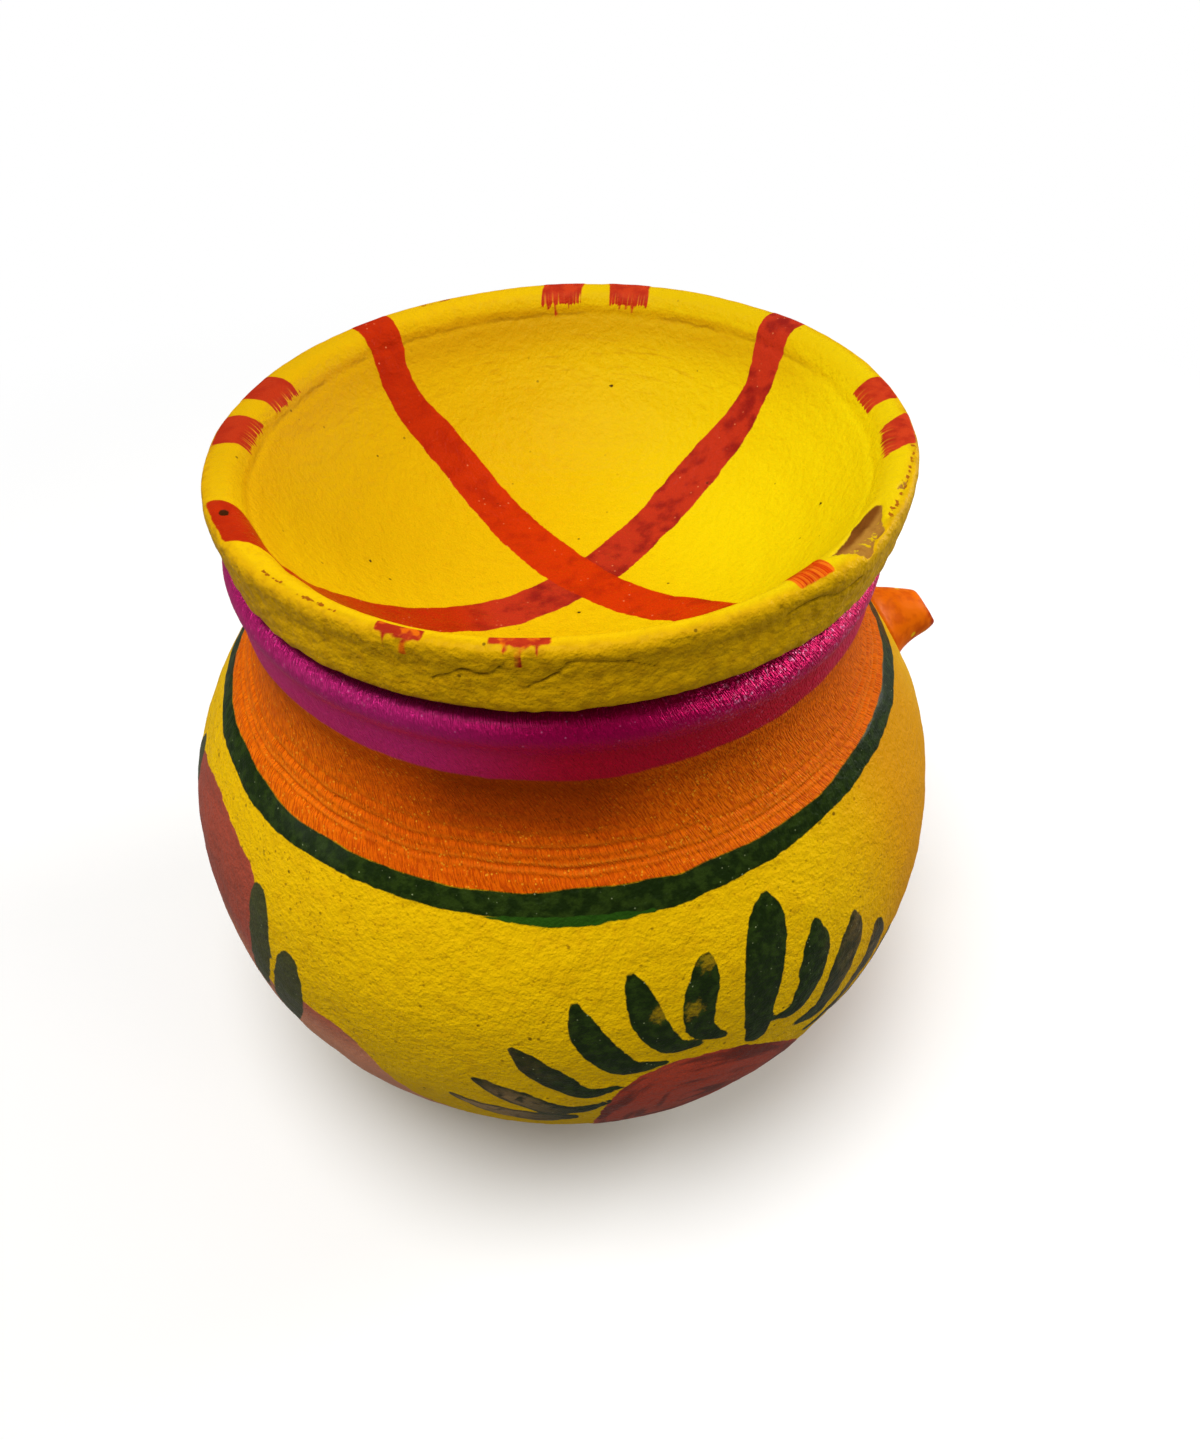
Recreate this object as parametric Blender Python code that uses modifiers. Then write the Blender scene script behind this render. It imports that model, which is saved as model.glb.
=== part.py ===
"""A painted clay lota: a turned pot with a short luted spout, and a loose dish lid on its mouth.

Lengths are in metres and angles in degrees. +Z is up, the pot stands on its foot at the origin,
and its spout points along +X.
"""

import math

import bmesh
import bpy
from mathutils import Vector

# The pot, from the floor up
FOOT_RADIUS = 0.027
BELLY_RADIUS = 0.065
BELLY_HEIGHT = 0.050
LOWER_FULLNESS = 1.8
SHOULDER_RADIUS = 0.0528
SHOULDER_RISE = 0.0338
UPPER_FULLNESS = 2.36
NECK_RADIUS = 0.0474
NECK_RISE = 0.0122
NECK_SWEEP = 2.0
COLLAR_OUT = 0.0009
COLLAR_RISE = 0.0031
COLLAR_HEIGHT = 0.0058
BEAD_RADIUS = 0.0028
BEAD_OUT = 0.0010
LIP_WIDTH = 0.0066
MOUTH_DROP = 0.0017
POT_WALL = 0.0055

# The spout, a tapered tube on the upper belly, and the clay worked round its root
SPOUT_RISE = 0.0225
SPOUT_PITCH = 12.0
SPOUT_LENGTH = 0.0090
SPOUT_ROOT_RADIUS = 0.0067
SPOUT_TIP_RADIUS = 0.0038
SPOUT_BORE_RADIUS = 0.0022
SPOUT_TIP_SLANT = 24.0
LUTE_LENGTH = 0.0030
LUTE_SPREAD = 0.0012
LUTE_EDGE = 0.0005

# The lid, a shallow dish with a thick rim; its round underside sits in the pot's mouth
LID_OVERHANG = 0.0010
LID_WALL = 0.0042
RIM_WIDTH = 0.0052
RIM_ROUND = 0.0015
BOWL_DEPTH = 0.0244
BOWL_FULLNESS = 3.4
SKIRT_TAPER = 0.0016
SKIRT_CLEARANCE = 0.0018
LID_LEAN = 1.7
LID_LEAN_AZIMUTH = -40.0

# Gaps between pieces that touch
LUTE_GAP = 0.0003
SEAT_GAP = 0.0003

# How finely the round shapes are cut into facets
TURN_STEPS = 48
SPOUT_STEPS = 24
BELLY_POINTS = 8
SHOULDER_POINTS = 6
NECK_POINTS = 4
BEAD_POINTS = 6
LIP_POINTS = 3
BOWL_POINTS = 10
BOWL_CROWDING = 1.5
RIM_POINTS = 6
MERGE = 0.00001
HALVINGS = 60

# Colours as the pieces are painted, linear, and how matt the paint is
YELLOW = (0.80, 0.50, 0.01)
ORANGE = (0.72, 0.17, 0.01)
PAINT_ROUGHNESS = 0.6

# Heights and radii that follow from the sizes above
SHOULDER_Z = BELLY_HEIGHT + SHOULDER_RISE
WAIST_Z = SHOULDER_Z + NECK_RISE
COLLAR_FOOT_Z = WAIST_Z + COLLAR_RISE
COLLAR_TOP_Z = COLLAR_FOOT_Z + COLLAR_HEIGHT
COLLAR_RADIUS = NECK_RADIUS + COLLAR_OUT
BEAD_START = math.acos(1 - BEAD_OUT / BEAD_RADIUS)
BEAD_Z = COLLAR_TOP_Z + BEAD_RADIUS * math.sin(BEAD_START)
RIM_TOP_Z = BEAD_Z + BEAD_RADIUS
LIP_RADIUS = COLLAR_RADIUS + BEAD_OUT
BEAD_CENTRE_RADIUS = LIP_RADIUS - BEAD_RADIUS
MOUTH_RADIUS = LIP_RADIUS - LIP_WIDTH
MOUTH_Z = RIM_TOP_Z - MOUTH_DROP
LID_RADIUS = LIP_RADIUS + LID_OVERHANG
BOWL_RADIUS = LID_RADIUS - RIM_WIDTH
SPOUT_ROOT_Z = BELLY_HEIGHT + SPOUT_RISE


def clear_scene():
    for item in list(bpy.data.objects):
        bpy.data.objects.remove(item, do_unlink=True)


def new_collection(name):
    collection = bpy.data.collections.new(name)
    bpy.context.scene.collection.children.link(collection)
    return collection


def paint(name, colour):
    material = bpy.data.materials.new(name)
    material.use_nodes = True
    shader = material.node_tree.nodes["Principled BSDF"]
    shader.inputs["Base Color"].default_value = (*colour, 1.0)
    shader.inputs["Roughness"].default_value = PAINT_ROUGHNESS
    shader.inputs["Metallic"].default_value = 0.0
    return material


def turned(name, profile, steps, collection, closed=False):
    """A profile of (radius, height) points turned about its own Z axis by a Screw modifier."""
    mesh = bpy.data.meshes.new(name)
    points = [(radius, 0.0, height) for radius, height in profile]
    edges = [(i, i + 1) for i in range(len(points) - 1)]
    if closed:
        edges.append((len(points) - 1, 0))
    mesh.from_pydata(points, edges, [])
    item = bpy.data.objects.new(name, mesh)
    collection.objects.link(item)
    screw = item.modifiers.new("turn", "SCREW")
    screw.axis = "Z"
    screw.angle = 2 * math.pi
    screw.steps = steps
    screw.render_steps = steps
    screw.use_merge_vertices = True
    screw.merge_threshold = MERGE
    screw.use_smooth_shade = True
    return item


def make_cutter(item):
    item.hide_render = True
    item.display_type = "WIRE"


def cut(item, cutter):
    boolean = item.modifiers.new("cut by " + cutter.name, "BOOLEAN")
    boolean.operation = "DIFFERENCE"
    boolean.solver = "EXACT"
    boolean.object = cutter


def offset(points, distance):
    """The points moved to the left of their direction of travel by a distance."""
    moved = []
    for i, point in enumerate(points):
        before = points[max(i - 1, 0)]
        after = points[min(i + 1, len(points) - 1)]
        along = (Vector(after) - Vector(before)).normalized()
        moved.append((point[0] - distance * along.y, point[1] + distance * along.x))
    return moved


def solve(function, low, high):
    """The place between low and high where a rising function passes zero."""
    for _ in range(HALVINGS):
        middle = (low + high) / 2
        if function(middle) < 0:
            low = middle
        else:
            high = middle
    return (low + high) / 2


def lower_belly():
    """From the foot's edge up to the widest circle."""
    points = []
    for i in range(BELLY_POINTS):
        turn = math.pi / 2 * i / BELLY_POINTS
        out = math.sin(turn) ** (2 / LOWER_FULLNESS)
        up = 1 - math.cos(turn) ** (2 / LOWER_FULLNESS)
        points.append((FOOT_RADIUS + (BELLY_RADIUS - FOOT_RADIUS) * out, BELLY_HEIGHT * up))
    return points


def upper_belly_radius(height):
    share = (height - BELLY_HEIGHT) / SHOULDER_RISE
    return BELLY_RADIUS - (BELLY_RADIUS - SHOULDER_RADIUS) * share ** UPPER_FULLNESS


def upper_belly():
    """From the widest circle up to the shoulder."""
    heights = [BELLY_HEIGHT + SHOULDER_RISE * i / SHOULDER_POINTS for i in range(SHOULDER_POINTS)]
    return [(upper_belly_radius(height), height) for height in heights]


def neck():
    """From the shoulder in to the neck's waist."""
    points = []
    for i in range(NECK_POINTS + 1):
        share = i / NECK_POINTS
        radius = NECK_RADIUS + (SHOULDER_RADIUS - NECK_RADIUS) * (1 - share) ** NECK_SWEEP
        points.append((radius, SHOULDER_Z + NECK_RISE * share))
    return points


def collar_and_bead():
    """From the collar's foot up its wall and round the bead to the top of the rim."""
    points = [(COLLAR_RADIUS, COLLAR_FOOT_Z)]
    for i in range(BEAD_POINTS + 1):
        turn = -BEAD_START + (math.pi / 2 + BEAD_START) * i / BEAD_POINTS
        radius = BEAD_CENTRE_RADIUS + BEAD_RADIUS * math.cos(turn)
        points.append((radius, BEAD_Z + BEAD_RADIUS * math.sin(turn)))
    return points


def lip():
    """From the top of the rim in and down to the mouth's edge."""
    points = []
    for i in range(1, LIP_POINTS + 1):
        turn = math.pi / 2 * i / LIP_POINTS
        radius = BEAD_CENTRE_RADIUS + (MOUTH_RADIUS - BEAD_CENTRE_RADIUS) * math.sin(turn)
        points.append((radius, MOUTH_Z + MOUTH_DROP * math.cos(turn)))
    return points


def pot_outside():
    """The whole outer line, from the foot's edge up to the neck's waist."""
    return lower_belly() + upper_belly() + neck()


def make_pot(collection):
    outside = pot_outside()
    inside = offset(outside, POT_WALL)
    floor_z = inside[0][1]
    profile = [(0.0, floor_z)] + inside
    profile += reversed(collar_and_bead() + lip())
    profile += reversed(outside)
    profile.append((0.0, 0.0))
    pot = turned("pot_body", profile, TURN_STEPS, collection)
    pot.data.materials.append(paint("painted_belly", YELLOW))
    return pot


def make_pot_form(collection):
    """The pot's outer form, solid and larger by the luting gap: it shapes the spout's root."""
    outside = offset(pot_outside(), -LUTE_GAP)
    top = outside[-1][1]
    profile = [(0.0, top)] + list(reversed(outside)) + [(0.0, outside[0][1])]
    form = turned("pot_form", profile, TURN_STEPS, collection)
    make_cutter(form)
    return form


def spout_axis(pitch):
    return Vector((math.cos(math.radians(pitch)), 0.0, math.sin(math.radians(pitch))))


def spout_root():
    return Vector((upper_belly_radius(SPOUT_ROOT_Z), 0.0, SPOUT_ROOT_Z))


def set_on_spout_axis(item):
    item.location = spout_root()
    item.rotation_euler = (0.0, math.radians(90 - SPOUT_PITCH), 0.0)


def spout_radius(reach):
    """The spout's outer radius at a distance out from the belly, round past its tip."""
    taper = (SPOUT_ROOT_RADIUS - SPOUT_TIP_RADIUS) / SPOUT_LENGTH
    return SPOUT_TIP_RADIUS + taper * max(SPOUT_LENGTH - reach, 0.0)


def root_depth():
    """How far the spout's blank runs into the pot before its root is cut to the belly."""
    return SPOUT_ROOT_RADIUS + LUTE_SPREAD


def tip_reach():
    """How far the spout's blank runs out before its tip is cut on the slant."""
    return SPOUT_LENGTH + 2 * SPOUT_TIP_RADIUS * math.tan(math.radians(SPOUT_TIP_SLANT))


def make_spout(pot_form, collection, cutters):
    profile = [
        (SPOUT_BORE_RADIUS, -root_depth()),
        (SPOUT_BORE_RADIUS, tip_reach()),
        (spout_radius(tip_reach()), tip_reach()),
        (spout_radius(SPOUT_LENGTH), SPOUT_LENGTH),
        (spout_radius(-root_depth()), -root_depth()),
    ]
    spout = turned("spout", profile, SPOUT_STEPS, collection, closed=True)
    set_on_spout_axis(spout)
    spout.data.materials.append(paint("painted_spout", ORANGE))
    cut(spout, pot_form)

    side = 4 * (SPOUT_ROOT_RADIUS + tip_reach())
    mesh = bpy.data.meshes.new("tip_form")
    block = bmesh.new()
    bmesh.ops.create_cube(block, size=side)
    block.to_mesh(mesh)
    block.free()
    tip_form = bpy.data.objects.new("tip_form", mesh)
    cutters.objects.link(tip_form)
    facing = spout_axis(SPOUT_PITCH + SPOUT_TIP_SLANT)
    tip = spout_root() + spout_axis(SPOUT_PITCH) * SPOUT_LENGTH
    tip_form.location = tip + facing * side / 2
    tip_form.rotation_euler = (0.0, math.radians(90 - SPOUT_PITCH - SPOUT_TIP_SLANT), 0.0)
    make_cutter(tip_form)
    cut(spout, tip_form)
    return spout


def make_luting(pot_form, collection):
    """The ring of soft clay pressed into the corner between the spout and the belly."""
    def inner(reach):
        return spout_radius(reach) + LUTE_GAP

    def outer(reach):
        return inner(reach) + LUTE_EDGE + LUTE_SPREAD * (1 - reach / LUTE_LENGTH)

    profile = [
        (inner(-root_depth()), -root_depth()),
        (inner(LUTE_LENGTH), LUTE_LENGTH),
        (outer(LUTE_LENGTH), LUTE_LENGTH),
        (outer(-root_depth()), -root_depth()),
    ]
    luting = turned("spout_luting", profile, SPOUT_STEPS, collection, closed=True)
    set_on_spout_axis(luting)
    luting.data.materials.append(paint("painted_luting", ORANGE))
    cut(luting, pot_form)
    return luting


def pierce(pot, cutters):
    """The hole through the pot's wall that the spout drains."""
    reach = root_depth() + POT_WALL
    length = reach + SPOUT_LENGTH
    mesh = bpy.data.meshes.new("bore_form")
    rod = bmesh.new()
    bmesh.ops.create_cone(
        rod, cap_ends=True, segments=SPOUT_STEPS, depth=length,
        radius1=SPOUT_BORE_RADIUS, radius2=SPOUT_BORE_RADIUS,
    )
    rod.to_mesh(mesh)
    rod.free()
    bore_form = bpy.data.objects.new("bore_form", mesh)
    cutters.objects.link(bore_form)
    bore_form.location = spout_root() + spout_axis(SPOUT_PITCH) * (length / 2 - reach)
    bore_form.rotation_euler = (0.0, math.radians(90 - SPOUT_PITCH), 0.0)
    make_cutter(bore_form)
    cut(pot, bore_form)


def bowl_z(radius):
    """The dish's inner surface, below the top of its rim."""
    rise = (BOWL_DEPTH - RIM_ROUND) * (radius / BOWL_RADIUS) ** BOWL_FULLNESS
    return rise - BOWL_DEPTH


def bowl_slope(radius):
    climb = (BOWL_DEPTH - RIM_ROUND) * BOWL_FULLNESS / BOWL_RADIUS
    return climb * (radius / BOWL_RADIUS) ** (BOWL_FULLNESS - 1)


def underside(radius):
    """The dish's outer surface, one wall below the inner surface at a radius."""
    slope = bowl_slope(radius)
    length = math.hypot(1.0, slope)
    return (radius + LID_WALL * slope / length, bowl_z(radius) - LID_WALL / length)


def lid_seat():
    """Where the dish touches the lip: the lip's point there, the dish's slope and its rim's height."""
    seats = []
    for radius, height in lip():
        bowl_radius = solve(lambda inner: underside(inner)[0] - radius, 0.0, BOWL_RADIUS)
        slope = bowl_slope(bowl_radius)
        rim_z = height + SEAT_GAP * math.hypot(1.0, slope) - underside(bowl_radius)[1]
        seats.append((rim_z, radius, height, slope))
    return max(seats)


def make_lid(collection):
    rim_z, seat_radius, seat_z, seat_slope = lid_seat()
    skirt_z = RIM_TOP_Z + SKIRT_CLEARANCE - rim_z
    join = solve(lambda radius: underside(radius)[1] - skirt_z, 0.0, BOWL_RADIUS)

    shares = [1 - (1 - i / BOWL_POINTS) ** BOWL_CROWDING for i in range(BOWL_POINTS + 1)]
    bowl_radii = [BOWL_RADIUS * share for share in shares]
    profile = [(radius, bowl_z(radius)) for radius in bowl_radii]
    for i in range(1, RIM_POINTS + 1):
        turn = math.pi * i / RIM_POINTS
        radius = LID_RADIUS - RIM_WIDTH / 2 * (1 + math.cos(turn))
        profile.append((radius, RIM_ROUND * (math.sin(turn) - 1)))
    profile.append((LID_RADIUS - SKIRT_TAPER, skirt_z))
    profile += [underside(join * radius / BOWL_RADIUS) for radius in reversed(bowl_radii)]

    # The dish leans about the centre of the ball that its seat is part of
    centre_z = seat_z + seat_radius / seat_slope
    profile = [(radius, height + rim_z - centre_z) for radius, height in profile]
    lid = turned("lid_dish", profile, TURN_STEPS, collection)
    lid.location = (0.0, 0.0, centre_z)
    raised = math.radians(LID_LEAN_AZIMUTH)
    lean_axis = Vector((math.sin(raised), -math.cos(raised), 0.0))
    lid.rotation_mode = "AXIS_ANGLE"
    lid.rotation_axis_angle = (math.radians(LID_LEAN), *lean_axis)
    lid.data.materials.append(paint("painted_dish", YELLOW))
    return lid


def main():
    clear_scene()
    lota = new_collection("clay_lota")
    cutters = new_collection("cutters")
    pot_form = make_pot_form(cutters)
    pot = make_pot(lota)
    pierce(pot, cutters)
    make_spout(pot_form, lota, cutters)
    make_luting(pot_form, lota)
    make_lid(lota)


main()
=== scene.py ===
# %% [markdown]
# # A painted clay lota with a dish lid
# The object is a small round pot of fired clay with a short spout, closed by a dish that sits on its
# mouth. It was thrown on a wheel, dried, fired, and painted by hand with thick glossy colours. This
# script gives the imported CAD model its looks: a lumpy thrown surface, brushed folk ornament and wear. The
# CAD model stays as the frame. Each visible piece below takes the place of a CAD node and rides on a
# body.

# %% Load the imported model
import math

import bpy
import numpy as np
from mathutils import Matrix, Vector, noise


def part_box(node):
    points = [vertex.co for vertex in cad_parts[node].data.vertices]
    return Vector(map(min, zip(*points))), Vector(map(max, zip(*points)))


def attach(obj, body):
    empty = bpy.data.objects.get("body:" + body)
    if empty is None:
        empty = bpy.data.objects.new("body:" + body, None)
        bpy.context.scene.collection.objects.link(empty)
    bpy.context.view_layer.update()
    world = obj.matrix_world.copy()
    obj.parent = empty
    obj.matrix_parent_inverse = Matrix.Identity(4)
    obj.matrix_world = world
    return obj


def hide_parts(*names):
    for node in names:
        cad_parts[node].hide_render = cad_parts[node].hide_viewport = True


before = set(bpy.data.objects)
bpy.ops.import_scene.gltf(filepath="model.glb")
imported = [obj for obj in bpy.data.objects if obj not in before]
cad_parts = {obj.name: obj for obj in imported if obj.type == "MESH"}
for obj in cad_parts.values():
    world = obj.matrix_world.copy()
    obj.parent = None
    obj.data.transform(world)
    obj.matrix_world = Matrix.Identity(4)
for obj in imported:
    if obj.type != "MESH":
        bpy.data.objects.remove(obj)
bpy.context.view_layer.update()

# %% [markdown]
# ## Sizes
# A potter thinks in millimetres, so the script does too and turns them into metres at the end. The widths
# and heights come from the boxes of the CAD nodes. The finer steps of the outline are named here.

# %% Sizes in millimetres
MM = 0.001
pot_low, pot_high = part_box("pot_body")
lid_low, lid_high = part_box("lid_dish")
BELLY_R = (pot_high[1] - pot_low[1]) / 2 / MM
RIM_Z = pot_high[2] / MM
FOOT_R = 27.0
BELLY_Z = 50.0
LOWER_FULLNESS = 1.8
SHOULDER_R = 52.8
SHOULDER_Z = 83.8
UPPER_FULLNESS = 2.36
NECK_R = 47.4
NECK_Z = 96.0
COLLAR_R = 48.3
COLLAR_FOOT_Z = 99.1
COLLAR_TOP_Z = 104.9
BEAD_R = 2.8
BEAD_AXIS_R = 46.5
BEAD_AXIS_Z = RIM_Z - BEAD_R
MOUTH_R = 42.7
MOUTH_DROP = 1.7
MOUTH_Z = RIM_Z - MOUTH_DROP
LID_R = (lid_high[0] - lid_low[0]) / 2 / MM
BOWL_R = 45.1
BOWL_DEPTH = 24.4
BOWL_FULLNESS = 3.4
RIM_ROUND = 1.5
SKIRT_DROP = 9.7
print(f"belly {2 * BELLY_R:.1f} mm wide, pot rim at {RIM_Z:.1f} mm, lid {2 * LID_R:.1f} mm wide")

# %% [markdown]
# ## Throwing on the wheel
# On a wheel a lump of clay turns while a hand holds one outline still against it. The same is done here:
# one vertex is extruded along the outline, spun about the axis, and smoothed. A Screw modifier would do
# as well. Spin is chosen because it leaves a plain mesh with rows and columns of quads, which take fine
# relief well later on.

# %% Turn an outline about the axis
MERGE_WITHIN = 0.01


def turn(name, outline, steps, levels):
    """A mesh spun from (radius, height) points in mm, from the axis round and back to the axis."""
    bpy.ops.object.select_all(action="DESELECT")
    bpy.ops.mesh.primitive_plane_add(size=MM)
    piece = bpy.context.object
    piece.name = name
    bpy.ops.object.mode_set(mode="EDIT")
    bpy.ops.mesh.select_mode(type="VERT")
    bpy.ops.mesh.select_all(action="SELECT")
    bpy.ops.mesh.merge(type="CENTER")
    places = [Vector((radius * MM, 0, height * MM)) for radius, height in outline]
    bpy.ops.transform.translate(value=places[0])
    for before, after in zip(places, places[1:]):
        bpy.ops.mesh.extrude_vertices_move(TRANSFORM_OT_translate={"value": after - before})
    bpy.ops.mesh.select_all(action="SELECT")
    bpy.ops.mesh.spin(steps=steps, angle=math.tau, center=(0, 0, 0), axis=(0, 0, 1))
    bpy.ops.mesh.select_all(action="SELECT")
    bpy.ops.mesh.remove_doubles(threshold=MERGE_WITHIN * MM)
    bpy.ops.mesh.normals_make_consistent(inside=False)
    bpy.ops.object.mode_set(mode="OBJECT")
    smooth = piece.modifiers.new("smooth", "SUBSURF")
    smooth.levels = levels
    smooth.render_levels = levels
    bpy.ops.object.modifier_apply(modifier=smooth.name)
    bpy.ops.object.shade_smooth()
    print(name, len(piece.data.vertices), "vertices")
    return piece


# %% [markdown]
# ## The pot's outline
# From the foot the wall swells to the belly, turns in to the shoulder and sweeps up into the neck. Above
# the neck stands a collar with a round bead, and the lip falls into the mouth. Each curve is a formula
# with one number for its fullness, so that the belly can be made rounder or flatter. Points stand closer
# together where the wheel left fine rings, on the shoulder, and where the bead is tight.

# %% Pot outline
def lower_belly(share):
    angle = share * math.pi / 2
    power = 2 / LOWER_FULLNESS
    radius = FOOT_R + (BELLY_R - FOOT_R) * math.sin(angle) ** power
    return radius, BELLY_Z * (1 - math.cos(angle) ** power)


def upper_belly(share):
    radius = BELLY_R - (BELLY_R - SHOULDER_R) * share ** UPPER_FULLNESS
    return radius, BELLY_Z + (SHOULDER_Z - BELLY_Z) * share


def neck(share):
    radius = NECK_R + (SHOULDER_R - NECK_R) * (1 - share) ** 2
    return radius, SHOULDER_Z + (NECK_Z - SHOULDER_Z) * share


def bead(degrees):
    angle = math.radians(degrees)
    return BEAD_AXIS_R + BEAD_R * math.cos(angle), BEAD_AXIS_Z + BEAD_R * math.sin(angle)


LOWER_STEPS = 15
UPPER_STEPS = 11
NECK_SHARES = (0.07, 0.14, 0.21, 0.28, 0.35, 0.43, 0.53, 0.66, 0.82, 1.0)
COLLAR_MIDDLE_Z = (COLLAR_FOOT_Z + COLLAR_TOP_Z) / 2
pot_outside = [lower_belly(k / LOWER_STEPS) for k in range(LOWER_STEPS + 1)]
pot_outside += [upper_belly(k / UPPER_STEPS) for k in range(1, UPPER_STEPS + 1)]
pot_outside += [neck(share) for share in NECK_SHARES]
pot_outside += [(COLLAR_R, z) for z in (COLLAR_FOOT_Z, COLLAR_MIDDLE_Z, COLLAR_TOP_Z)]
pot_outside += [bead(degrees) for degrees in (-30, 0, 30, 60, 90)]
foot_under = [(0, 0.8), (12, 0.8), (21, 0.6), (25, 0.1)]
pot_inside = [(44.2, 109.3), (MOUTH_R, MOUTH_Z), (42.2, 104), (41.9, 97), (43.6, 90), (47.4, 83)]
pot_inside += [(51.4, 77), (53.2, 74.4), (54.8, 71.6), (56.4, 67), (59, 58), (58, 38), (48, 19)]
pot_inside += [(31, 8), (12, 5.6), (0, 5.5)]
pot = turn("thrown_pot", foot_under + pot_outside + pot_inside, steps=96, levels=2)
outside_z = np.array([z for r, z in pot_outside])
outside_r = np.array([r for r, z in pot_outside])

# %% [markdown]
# ## Measuring the painting
# Brush strokes are laid on the turned surface as curves with a half-width at each knot. For every vertex
# the script works out how far it lies outside the nearest stroke, in mm, below 0 inside it. That number
# is kept on the mesh. The paint's colour and its thickness are both taken from it. An image wrapped round
# the pot could hold the ornament too, but it would blur up close and need a UV map.

# %% Distances to brush strokes
FAR = 30.0


def curve_through(knots, steps=12):
    """Points close together on a smooth curve through knots of any number of values."""
    knots = np.array(knots, float)
    ends = np.vstack([2 * knots[0] - knots[1], knots, 2 * knots[-1] - knots[-2]])
    made = []
    for a, b, c, d in zip(ends, ends[1:], ends[2:], ends[3:]):
        for t in np.arange(steps) / steps:
            bend = (2 * a - 5 * b + 4 * c - d) * t * t + (3 * b - a - 3 * c + d) * t ** 3
            made.append(b + ((c - a) * t + bend) / 2)
    return np.array(made + [knots[-1]])


def stroke_distance(points, centres, halves):
    """How far each point lies outside a round brush led along the centres."""
    middle = centres.mean(axis=0)
    reach = np.linalg.norm(centres - middle, axis=1).max() + FAR / 2
    near = np.flatnonzero(np.linalg.norm(points - middle, axis=1) < reach)
    best = np.full(len(near), FAR)
    for centre, half in zip(centres, halves):
        best = np.minimum(best, np.linalg.norm(points[near] - centre, axis=1) - half)
    found = np.full(len(points), FAR)
    found[near] = best
    return found


def nearest(distances):
    """The smallest of several distances, vertex by vertex."""
    return np.minimum.reduce(list(distances))


# %% [markdown]
# ## Reading and writing vertices
# Numpy works on all vertices of a piece at once, which is far quicker than a loop over them. A value that
# belongs to a vertex is kept on the mesh as a float attribute, and the material reads it by name.

# %% Vertices as arrays
def keep(piece, **numbers):
    """Store one number for each vertex under each name, for the material to read."""
    for name, values in numbers.items():
        store = piece.data.attributes.new(name, "FLOAT", "POINT")
        store.data.foreach_set("value", np.asarray(values, np.float32))


def places_of(piece):
    """Vertex places in mm and normals, as arrays."""
    count = len(piece.data.vertices)
    flat = np.empty(count * 3, np.float32)
    piece.data.vertices.foreach_get("co", flat)
    normals = np.empty(count * 3, np.float32)
    piece.data.vertex_normals.foreach_get("vector", normals)
    return flat.reshape(-1, 3).astype(float) / MM, normals.reshape(-1, 3).astype(float)


def set_places(piece, points):
    piece.data.vertices.foreach_set("co", (points * MM).astype(np.float32).ravel())
    piece.data.update()


def round_the_axis(points):
    """Azimuth in degrees and radius in mm."""
    return np.degrees(np.arctan2(points[:, 1], points[:, 0])), np.hypot(points[:, 0], points[:, 1])


# %% [markdown]
# ## Ornament on the belly
# The ornament is a red dome with a crown of dark green leaves, each pulled out with one press of a round
# brush. A second, larger dome stands to its left with broad dabs beside it, and the pair comes again on
# the far side. A leaf is a curve with a width and not an outline, because that is how a brush makes it.
# Knots are (azimuth in degrees, height in mm, half-width in mm), picked on the photo and carried over to
# the pot.

# %% Leaves and domes
LEAVES_A = (
    ((-73.6, 77.2, 0.5), (-74.3, 73.2, 3.2), (-75.5, 67.3, 3.6), (-76.7, 59.6, 2.7), (-77.1, 53.6, 2.0)),
    ((-84, 72.1, 1.2), (-84.7, 68.4, 2.5), (-85.5, 64.1, 2.5), (-85, 59.8, 1.9), (-81.3, 56.3, 0.2)),
    ((-94.2, 72.3, 0.6), (-93.3, 68.7, 2.0), (-92.1, 63.8, 2.4), (-89.5, 58.7, 1.8), (-85.6, 56.9, 0.4)),
    ((-101.7, 69.1, 0.5), (-100.6, 64.4, 2.1), (-98.4, 59.5, 2.5), (-95.1, 55.2, 1.9), (-90.1, 54.5, 0.5)),
    ((-109.9, 60.9, 0.5), (-107.2, 56.6, 2.2), (-104, 52.4, 2.3), (-100.4, 48.9, 1.5), (-95.1, 50.4, 0.3)),
    ((-115.6, 52, 0.4), (-112, 48.6, 1.9), (-108.3, 45.4, 2.4), (-104.2, 42.2, 2.2), (-99.6, 43.4, 1.1),
     (-97, 46.5, 0.3)),
    ((-119.2, 44.5, 0.5), (-115.6, 41, 1.9), (-111.5, 38.6, 3.1), (-107, 37.6, 3.1), (-103, 38.2, 1.6)),
    ((-66.5, 69.3, 0.6), (-67, 64.3, 2.8), (-68.5, 58.8, 2.6), (-70.8, 54.9, 1.7), (-74.9, 55.4, 0.2)),
    ((-59.2, 65.3, 0.6), (-59.9, 60.5, 2.8), (-62.1, 55.4, 3.2), (-64.9, 49.1, 2.5), (-70.9, 49.4, 0.4)),
    ((-53.4, 57.2, 1.2), (-53.2, 51.2, 2.9), (-55.5, 46.5, 2.9), (-60, 43, 1.8), (-67.7, 44.2, 0.7)),
    ((-47, 48, 1.0), (-47.5, 42.5, 2.6), (-51, 38, 2.4), (-58, 36.5, 0.8)),
)
DOME_A = ((-99.5, 25), (-99.6, 31), (-98.9, 37.7), (-97.4, 45.9), (-94.4, 51.2), (-89.9, 53.7), (-84.3, 53.6),
          (-77.7, 50.9), (-69.1, 42.3), (-65.5, 34), (-64, 25))
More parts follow.
